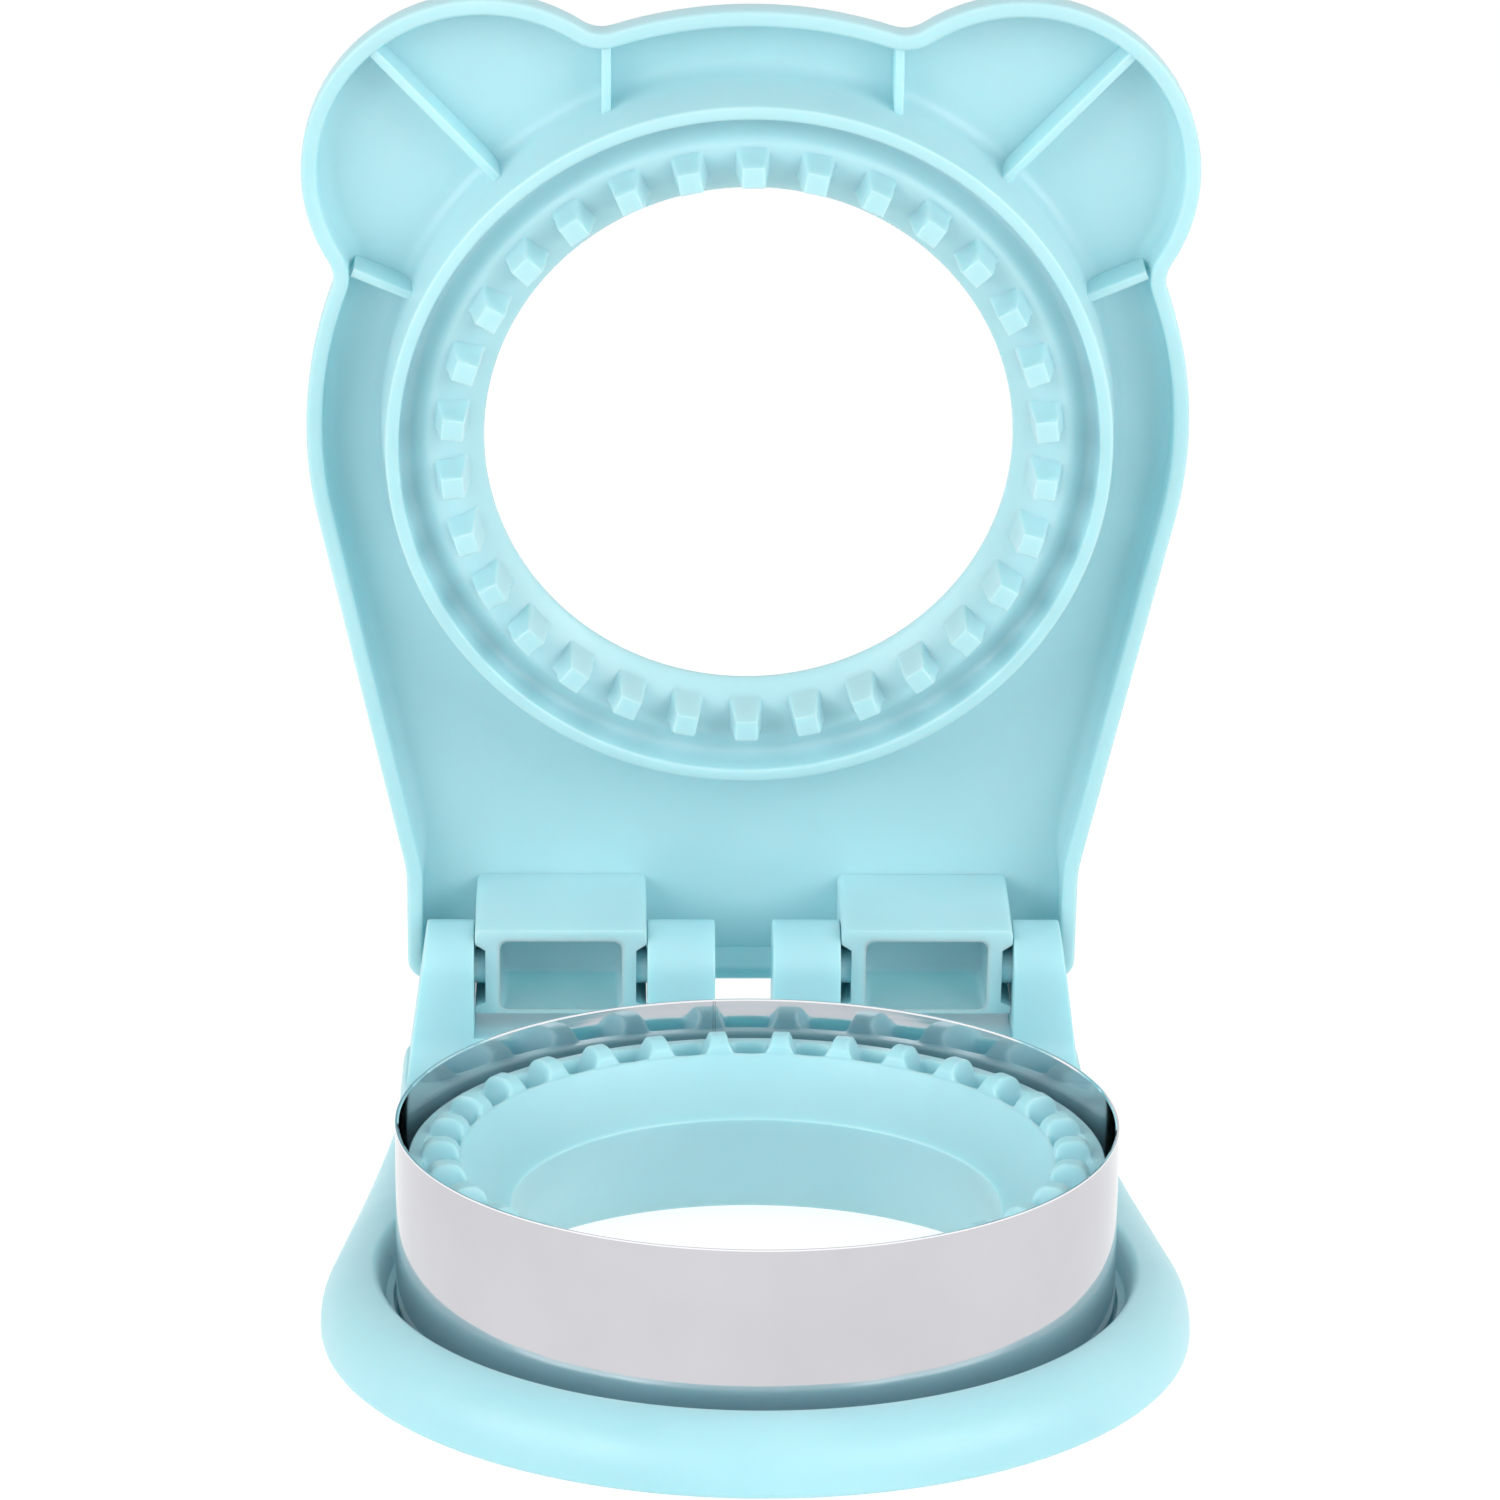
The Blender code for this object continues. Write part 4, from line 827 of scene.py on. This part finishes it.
lid = {
    "radius": 62.4,
    "flankDeg": 12.0,
    "rearHalf": 49.1,
    "hip": 20.0,
    "corner": 3.0,
    "rear": 6.7,
    "ear": 25.3,
    "earCentre": (37.146, 38.601),
    "earFillet": 4.5,
    "rimWidth": 2.2,
    "rimLevel": 6.9,
    "rimRound": 0.5,
    "sideStraight": 2.9,
    "edgeRound": 5.5,
    "edgeLoss": 0.55,
    "floor": 13.3,
    "top": 15.3,
    "floorFillet": 2.3,
    "ridge": 49.2,
    "ridgeWidth": 1.9,
    "ridgeDraft": 0.9,
    "ridgeRound": 0.4,
    "ridgeFoot": 2.8,
    "channel": 4.85,          # lowest place of the cove that the steel's edge enters
    "channelMiddle": 47.85,
    "crestRing": (44.4, 2.6),
    "toothIn": 40.1,
    "toothOut": 43.6,
    "toothLevel": -2.8,
    "runIn": (0.55, 0.8),     # a tooth starts this far inside toothIn and takes this long to rise
    "runOut": (0.75, 1.15),
    "crestHalf": 1.5,
    "footHalf": 2.35,
    "hole": 37.3,
    "holeLevel": 5.8,
    "dish": 54.0,             # the outer face sinks from here to the hole, through (radius, height)
    "dishBend": (50.5, 15.1),
    "dishMiddle": (46.6, 11.6),
    "dishFoot": (42.0, 7.5),
    "holeBrim": 7.35,
    "holeEdge": ((0.5, 7.15), (0.12, 6.8), (0, 6.45), (0.05, 6.05)),   # beyond the hole, height
    "spacing": 1.0,
}


def lidOutline():
    s = lid
    rear = hinge["behind"] + s["rear"]
    ear = Vector(s["earCentre"])
    reach = s["radius"] + s["earFillet"]
    far = s["ear"] + s["earFillet"]
    swing = math.degrees(math.acos((reach ** 2 + ear.length_squared - far ** 2) / (2 * reach * ear.length)))
    middle = math.degrees(math.atan2(ear.y, ear.x))
    top, low = middle + swing, middle - swing
    topFillet, lowFillet = polar(reach, top), polar(reach, low)
    earStart = math.degrees(math.atan2(*(topFillet - ear).yx))
    earEnd = math.degrees(math.atan2(*(lowFillet - ear).yx))
    step = s["spacing"]
    right = arcRun((0, 0), s["radius"], 90, top, step)
    right += arcRun(topFillet, s["earFillet"], top - 180, earStart - 180, step / 2, hollow=True)[1:]
    right += arcRun(ear, s["ear"], earStart, earEnd, step)[1:]
    right += arcRun(lowFillet, s["earFillet"], earEnd + 180, low + 180, step / 2, hollow=True)[1:]
    right += arcRun((0, 0), s["radius"], low, -s["flankDeg"], step)[1:]
    right += flankRun(s, rear, step)
    return mirrorRun(right, rear)


def lidValley(radius):
    # floor between two teeth, from the hole's edge out to the crest that bounds the channel
    crestRadius, crestLevel = lid["crestRing"]
    share = (radius - lid["hole"]) / (crestRadius - lid["hole"])
    rise = math.sin(math.radians(90 * min(max(share, 0), 1)))
    return lid["holeLevel"] + (crestLevel - lid["holeLevel"]) * rise


def lidHeight(radius, across):
    inner = radius - (lid["toothIn"] - lid["runIn"][0])
    outer = (lid["toothOut"] + lid["runOut"][0]) - radius
    lift = soft(inner / lid["runIn"][1]) * soft(outer / lid["runOut"][1])
    tooth = 1 - soft((across - lid["crestHalf"]) / (lid["footHalf"] - lid["crestHalf"]))
    valley = lidValley(radius)
    return valley + (lid["toothLevel"] - valley) * tooth * lift


def lidShellLoops(bm, outline, shares):
    s = lid
    fillet = s["floorFillet"]
    rearStart, rearEnd = s["radius"], hinge["behind"] - s["rear"]
    fade = [soft((-p.y - rearStart) / (rearEnd - rearStart)) for p, n in outline]
    loops = []
    steps = 6
    for k in range(steps + 1):
        t = math.radians(90 * k / steps)
        depth = s["rimWidth"] + fillet * (1 - math.sin(t))
        lose = 1 - s["rimWidth"] / depth
        loops.append(outlineLoop(bm, outline, depth, s["floor"] - fillet * (1 - math.cos(t)),
                                 [1 - lose * f for f in fade]))
    r = s["rimRound"]
    for k in range(4):
        t = math.radians(90 * k / 3)
        loops.append(outlineLoop(bm, outline, s["rimWidth"] - r * (1 - math.cos(t)),
                                 s["rimLevel"] + r * (1 - math.sin(t))))
    for k in range(4):
        t = math.radians(90 * k / 3)
        loops.append(outlineLoop(bm, outline, r * (1 - math.sin(t)), s["rimLevel"] + r * (1 - math.cos(t))))
    start = s["rimLevel"] + s["sideStraight"]
    steps = 10
    for k in range(steps + 1):
        t = math.radians(90 * k / steps)
        loops.append(outlineLoop(bm, outline, s["edgeRound"] * (1 - math.cos(t)),
                                 start + (s["top"] - start) * math.sin(t), shares))
    return loops


def lidRingLoops(bm, columns):
    s = lid
    angles = [angle for angle, phase in columns]
    crestRadius, crestLevel = s["crestRing"]
    outerFace = bezier((s["dish"], s["top"]), s["dishBend"], s["dishMiddle"], 7)
    outerFace += bezier(s["dishMiddle"], s["dishFoot"], (s["hole"] + 1.2, s["holeBrim"]), 7)[1:]
    outerFace += [(s["hole"] + out, height) for out, height in s["holeEdge"]]
    outerFace.append((s["hole"] + 0.25, s["holeLevel"]))
    loops = [circleLoop(bm, angles, *spot) for spot in outerFace]
    radii = [s["hole"] + 0.8, s["hole"] + 1.6] + [s["toothIn"] - 0.62 + i * 0.14 for i in range(8)]
    radii += [s["toothIn"] + 0.6 + i * 0.5 for i in range(5)]
    radii += [s["toothOut"] - 0.5 + i * 0.14 for i in range(10)]
    loops += toothedLoops(bm, columns, radii, lidHeight)
    middle, deep = s["channelMiddle"], s["channel"]
    slope = (deep - crestLevel) / (middle - crestRadius)
    start = (crestRadius + 1.2, crestLevel + 0.7 * slope)
    channel = bezier((crestRadius + 0.15, crestLevel), (crestRadius + 0.6, crestLevel), start, 4)
    channel += bezier(start, (middle - 0.6, deep), (middle, deep), 6)[1:]
    channel += bezier((middle, deep), (s["ridge"], deep), (s["ridge"], deep - 2.0), 7)[1:]
    r = s["ridgeRound"]
    for k in range(4):
        t = math.radians(90 * k / 3)
        channel.append((s["ridge"] + r * (1 - math.cos(t)), r * (1 - math.sin(t))))
    outside = s["ridge"] + s["ridgeWidth"]
    for k in range(4):
        t = math.radians(90 * k / 3)
        channel.append((outside - r * (1 - math.sin(t)), r * (1 - math.cos(t))))
    foot = outside + s["ridgeDraft"]
    channel += bezier((foot - 0.05, s["floor"] - s["ridgeFoot"]), (foot, s["floor"]),
                      (foot + s["ridgeFoot"], s["floor"]), 5)
    return loops + [circleLoop(bm, angles, *spot) for spot in channel]


ribs = {
    "thick": 1.35,
    "level": 7.5,
    "edge": 0.35,
    "earDeg": 47.0,
    "sideDeg": 23.3,
    "topSide": 20.2,
}
lugs = {
    "inside": 14.12,          # snug between the posts, the solids leave more room
    "outside": 38.98,
    "front": 7.5,
    "drop": 3.6,
    "notchDepth": 1.5,
    "notchHalf": 4.2,
    "notchFloor": 2.0,
    "sideWall": 1.8,
    "frontWall": 1.5,
    "rearWall": 1.1,
    "pocketRound": 1.3,
    "pocketFillet": 0.8,
    "edge": 0.4,
    "backSkin": 8.9,
}


def ribPiece(start, end):
    along = (end - start).normalized()
    across = Vector((-along.y, along.x)) * (ribs["thick"] / 2)
    corners = [(c.x, -c.y) for c in (start + across, start - across, end - across, end + across)]
    bm = bmesh.new()
    rings = [[bm.verts.new((x, y, z)) for x, y in corners] for z in (ribs["level"], lid["floor"] + 0.3)]
    skin(bm, rings)
    crown = bm.faces.new(rings[0])
    bm.faces.new(rings[1])
    bmesh.ops.recalc_face_normals(bm, faces=bm.faces)
    longEdges = sorted(crown.edges, key=lambda e: -e.calc_length())[:2]
    bmesh.ops.bevel(bm, geom=longEdges, offset=ribs["edge"], segments=3, profile=0.5, affect="EDGES")
    return makeObject(bm, "rib")


def ribPieces():
    inside = lid["ridge"] + lid["ridgeWidth"] * 0.6
    intoRim = lid["rimWidth"] - 0.3
    outside = lid["radius"] - intoRim
    earTip = Vector(lid["earCentre"]).length + lid["ear"] - intoRim
    topSide = ribs["topSide"]
    lines = ((polar(inside, ribs["earDeg"]), polar(earTip, ribs["earDeg"])),
             (polar(inside, ribs["sideDeg"]), polar(outside, ribs["sideDeg"])),
             (Vector((topSide, math.sqrt(inside ** 2 - topSide ** 2))),
              Vector((topSide, math.sqrt(outside ** 2 - topSide ** 2)))))
    return [ribPiece(Vector((side * a.x, a.y)), Vector((side * b.x, b.y)))
            for side in (-1, 1) for a, b in lines]


def lugPlan(side):
    y = hinge["behind"]
    front, rear = y - lugs["front"], y + lid["rear"] - 0.6
    left, right = lugs["inside"], lugs["outside"]
    points = roundedPoints([(left, front), (right, front), (right, rear), (left, rear)],
                           [0.9, 0.9, 0.4, 0.4], 5)
    return [(side * x, y) for x, y in points]


def notchPiece(end, way):
    # recess round the foot of a pin, open towards the base and at the lug's end, its front slanting outwards
    low, high = hinge["behind"] - lugs["notchHalf"], hinge["behind"] + lugs["notchHalf"]
    deep, out = end - way * lugs["notchDepth"], end + way
    corners = [(out, low - 1.7), (deep, low), (deep, high), (end, high + 0.8), (out, high + 0.8)]
    return prism("notch", corners, -hinge["ridgeOverPins"] - lugs["drop"] - 2, lugs["notchFloor"], "z")


def addLugs(obj):
    axis = -hinge["ridgeOverPins"]
    low = axis - lugs["drop"]
    wall = lugs["notchDepth"] + lugs["sideWall"]
    behind = hinge["behind"]
    bodies, notches, pockets, pins = [], [], [], []
    for side in (-1, 1):
        plan = lugPlan(side)
        bm = bmesh.new()
        rings = [[bm.verts.new((x, y, z)) for x, y in plan] for z in (low, lid["floor"] + 0.6)]
        skin(bm, rings)
        face = bm.faces.new(rings[0])
        bm.faces.new(rings[1])
        bmesh.ops.recalc_face_normals(bm, faces=bm.faces)
        bmesh.ops.bevel(bm, geom=list(face.edges), offset=lugs["edge"] * 0.6, segments=2, profile=0.5,
                        affect="EDGES")
        bodies.append(makeObject(bm, "lug"))
        x0, x1 = lugs["inside"] + wall, lugs["outside"] - wall
        y0, y1 = behind - lugs["front"] + lugs["frontWall"], behind + lid["rear"] - lugs["rearWall"]
        points = roundedPoints([(x0, y0), (x1, y0), (x1, y1), (x0, y1)], lugs["pocketRound"], 6)
        pockets.append(pocketPiece([(side * x, y) for x, y in points], low, lid["top"] - lugs["backSkin"]))
        for face, way in ((lugs["outside"], 1), (lugs["inside"], -1)):
            notches.append(notchPiece(side * face, side * way))
            pins.append(roundBar("pin", hinge["pin"], side * (face - way * (wall - 0.6)),
                                 side * (face + way * (hinge["gap"] + hinge["pinReach"])), behind, axis, 0.3))
    combine(obj, joined("lugs", bodies), "UNION")
    combine(obj, joined("notches", notches), "DIFFERENCE")
    combine(obj, joined("pockets", pockets), "DIFFERENCE")
    combine(obj, joined("pins", pins), "UNION")


def pocketPiece(points, low, deep):
    # pocket with a slight draft, a rounded mouth and a filleted bottom
    middle = Vector((sum(p[0] for p in points) / len(points), sum(p[1] for p in points) / len(points)))
    bm = bmesh.new()
    rings = []
    fillet = lugs["pocketFillet"]
    levels = [(-0.35, low - 3), (-0.35, low - 0.01), (-0.12, low + 0.12), (0.0, low + 0.35),
              (0.4, deep - fillet)]
    levels += [(0.4 + fillet * (1 - math.cos(t)), deep - fillet * (1 - math.sin(t)))
               for t in (math.radians(a) for a in (30, 60, 90))]
    for shrink, z in levels:
        ring = []
        for x, y in points:
            out = Vector((x, y)) - middle
            spot = middle + Vector((out.x - math.copysign(shrink, out.x), out.y - math.copysign(shrink, out.y)))
            ring.append(bm.verts.new((spot.x, spot.y, z)))
        rings.append(ring)
    skin(bm, rings)
    bm.faces.new(rings[0])
    bm.faces.new(rings[-1])
    return makeObject(bm, "pocket")


def makeLid():
    s = lid
    outline = lidOutline()
    half = s["radius"] / 2
    shares = [1 - s["edgeLoss"] * soft((-p.y - half) / (hinge["behind"] - s["rear"] - half))
              for p, n in outline]
    bm = bmesh.new()
    shellLoops = lidShellLoops(bm, outline, shares)
    skin(bm, shellLoops)
    ringLoops = lidRingLoops(bm, toothColumns(math.pi / 2))
    skin(bm, ringLoops)
    fillBetween(bm, shellLoops[-1], ringLoops[0])
    fillBetween(bm, shellLoops[0], ringLoops[-1])
    obj = makeObject(bm, "toothedLid", 38)
    combine(obj, joined("ribs", ribPieces()), "UNION", 38)
    addLugs(obj)
    dress(obj, lidMatrix, lidPlastic, "lid", "lid_plastic", "lid")


makeLid()
print("lid made")


studio = {
    "floor": 3.4,             # metres across
    "floorShade": "#A0A0A0",  # part of the floor's white that takes the shadow
    "floorSeen": 0.82,        # the rest, for the camera, steel and see-through rays
    "floorFill": 0.58,        # and for all other rays
    "worldFill": 0.45,
    "boxPower": 9.0,          # each of two softboxes, one at each side of the camera
    "boxSize": (1.2, 0.8),
    "boxAway": 1.3,
    "boxSideDeg": 53.0,
    "boxRiseDeg": 21.0,
    "boxAim": 0.07,
}
camera = {
    "target": (-0.001395, 0.0, 0.080372),
    "distance": 0.78131,
    "elevation": 16.753,
    "azimuth": -1.50,
    "roll": 0.517,
    "lens": 144.0,
}


def seenStrength(tree, seen, fill):
    # one strength for the camera, for steel and for see-through rays, another for all the rest
    path = addNode(tree, "ShaderNodeLightPath")
    either = addNode(tree, "ShaderNodeMath", {0: path.outputs["Is Camera Ray"],
                                              1: path.outputs["Is Glossy Ray"]}, operation="MAXIMUM")
    each = addNode(tree, "ShaderNodeMath", {0: either.outputs[0],
                                            1: path.outputs["Is Transmission Ray"]}, operation="MAXIMUM")
    return addNode(tree, "ShaderNodeMath", {0: each.outputs[0], 1: seen - fill, 2: fill},
                   operation="MULTIPLY_ADD")


def addFloor():
    half = studio["floor"] / 2
    mesh = bpy.data.meshes.new("floor")
    corners = [(-half, -half, 0), (half, -half, 0), (half, half, 0), (-half, half, 0)]
    mesh.from_pydata(corners, [], [(0, 1, 2, 3)])
    floor = bpy.data.objects.new("floor", mesh)
    bpy.context.scene.collection.objects.link(floor)
    material = bpy.data.materials.new("whiteCard")
    material.use_nodes = True
    tree = material.node_tree
    tree.nodes.clear()
    out = addNode(tree, "ShaderNodeOutputMaterial")
    matte = addNode(tree, "ShaderNodeBsdfDiffuse", {"Color": hexColour(studio["floorShade"])})
    strength = seenStrength(tree, studio["floorSeen"], studio["floorFill"])
    glow = addNode(tree, "ShaderNodeEmission", {"Strength": strength.outputs[0]})
    both = addNode(tree, "ShaderNodeAddShader", {0: matte.outputs[0], 1: glow.outputs[0]})
    tree.links.new(both.outputs[0], out.inputs["Surface"])
    mesh.materials.append(material)


def addWorld():
    world = bpy.data.worlds.new("studio")
    world.use_nodes = True
    tree = world.node_tree
    sky = tree.nodes["Background"]
    sky.inputs["Color"].default_value = (1, 1, 1, 1)
    tree.links.new(seenStrength(tree, 1.0, studio["worldFill"]).outputs[0], sky.inputs["Strength"])
    bpy.context.scene.world = world


def addSoftbox(side):
    data = bpy.data.lights.new("softbox", "AREA")
    data.shape = "RECTANGLE"
    data.size, data.size_y = studio["boxSize"]
    data.energy = studio["boxPower"]
    box = bpy.data.objects.new("softbox", data)
    bpy.context.scene.collection.objects.link(box)
    rise = math.radians(studio["boxRiseDeg"])
    ground = polar(studio["boxAway"] * math.cos(rise), -90 + side * studio["boxSideDeg"])
    aim = Vector((0, 0, studio["boxAim"]))
    box.location = aim + Vector((ground.x, ground.y, studio["boxAway"] * math.sin(rise)))
    box.rotation_euler = (aim - box.location).to_track_quat("-Z", "Y").to_euler()


def addCamera():
    e, a, roll = (math.radians(camera[k]) for k in ("elevation", "azimuth", "roll"))
    back = Vector((math.sin(a) * math.cos(e), -math.cos(a) * math.cos(e), math.sin(e)))
    right = (-back).cross(Vector((0, 0, 1))).normalized()
    up = right.cross(-back)
    x = right * math.cos(roll) + up * math.sin(roll)
    y = -right * math.sin(roll) + up * math.cos(roll)
    data = bpy.data.cameras.new("photoCamera")
    data.lens = camera["lens"]
    data.sensor_width = 36
    data.clip_start = 0.01
    obj = bpy.data.objects.new("photoCamera", data)
    bpy.context.scene.collection.objects.link(obj)
    obj.matrix_world = Matrix((x, y, back)).transposed().to_4x4()
    obj.location = bandCentre + Vector(camera["target"]) + back * camera["distance"]
    bpy.context.scene.camera = obj


addFloor()
addWorld()
addSoftbox(-1)
addSoftbox(1)
addCamera()
bpy.context.scene.view_settings.view_transform = "Standard"
print("floor, light and camera set")

bpy.context.view_layer.update()
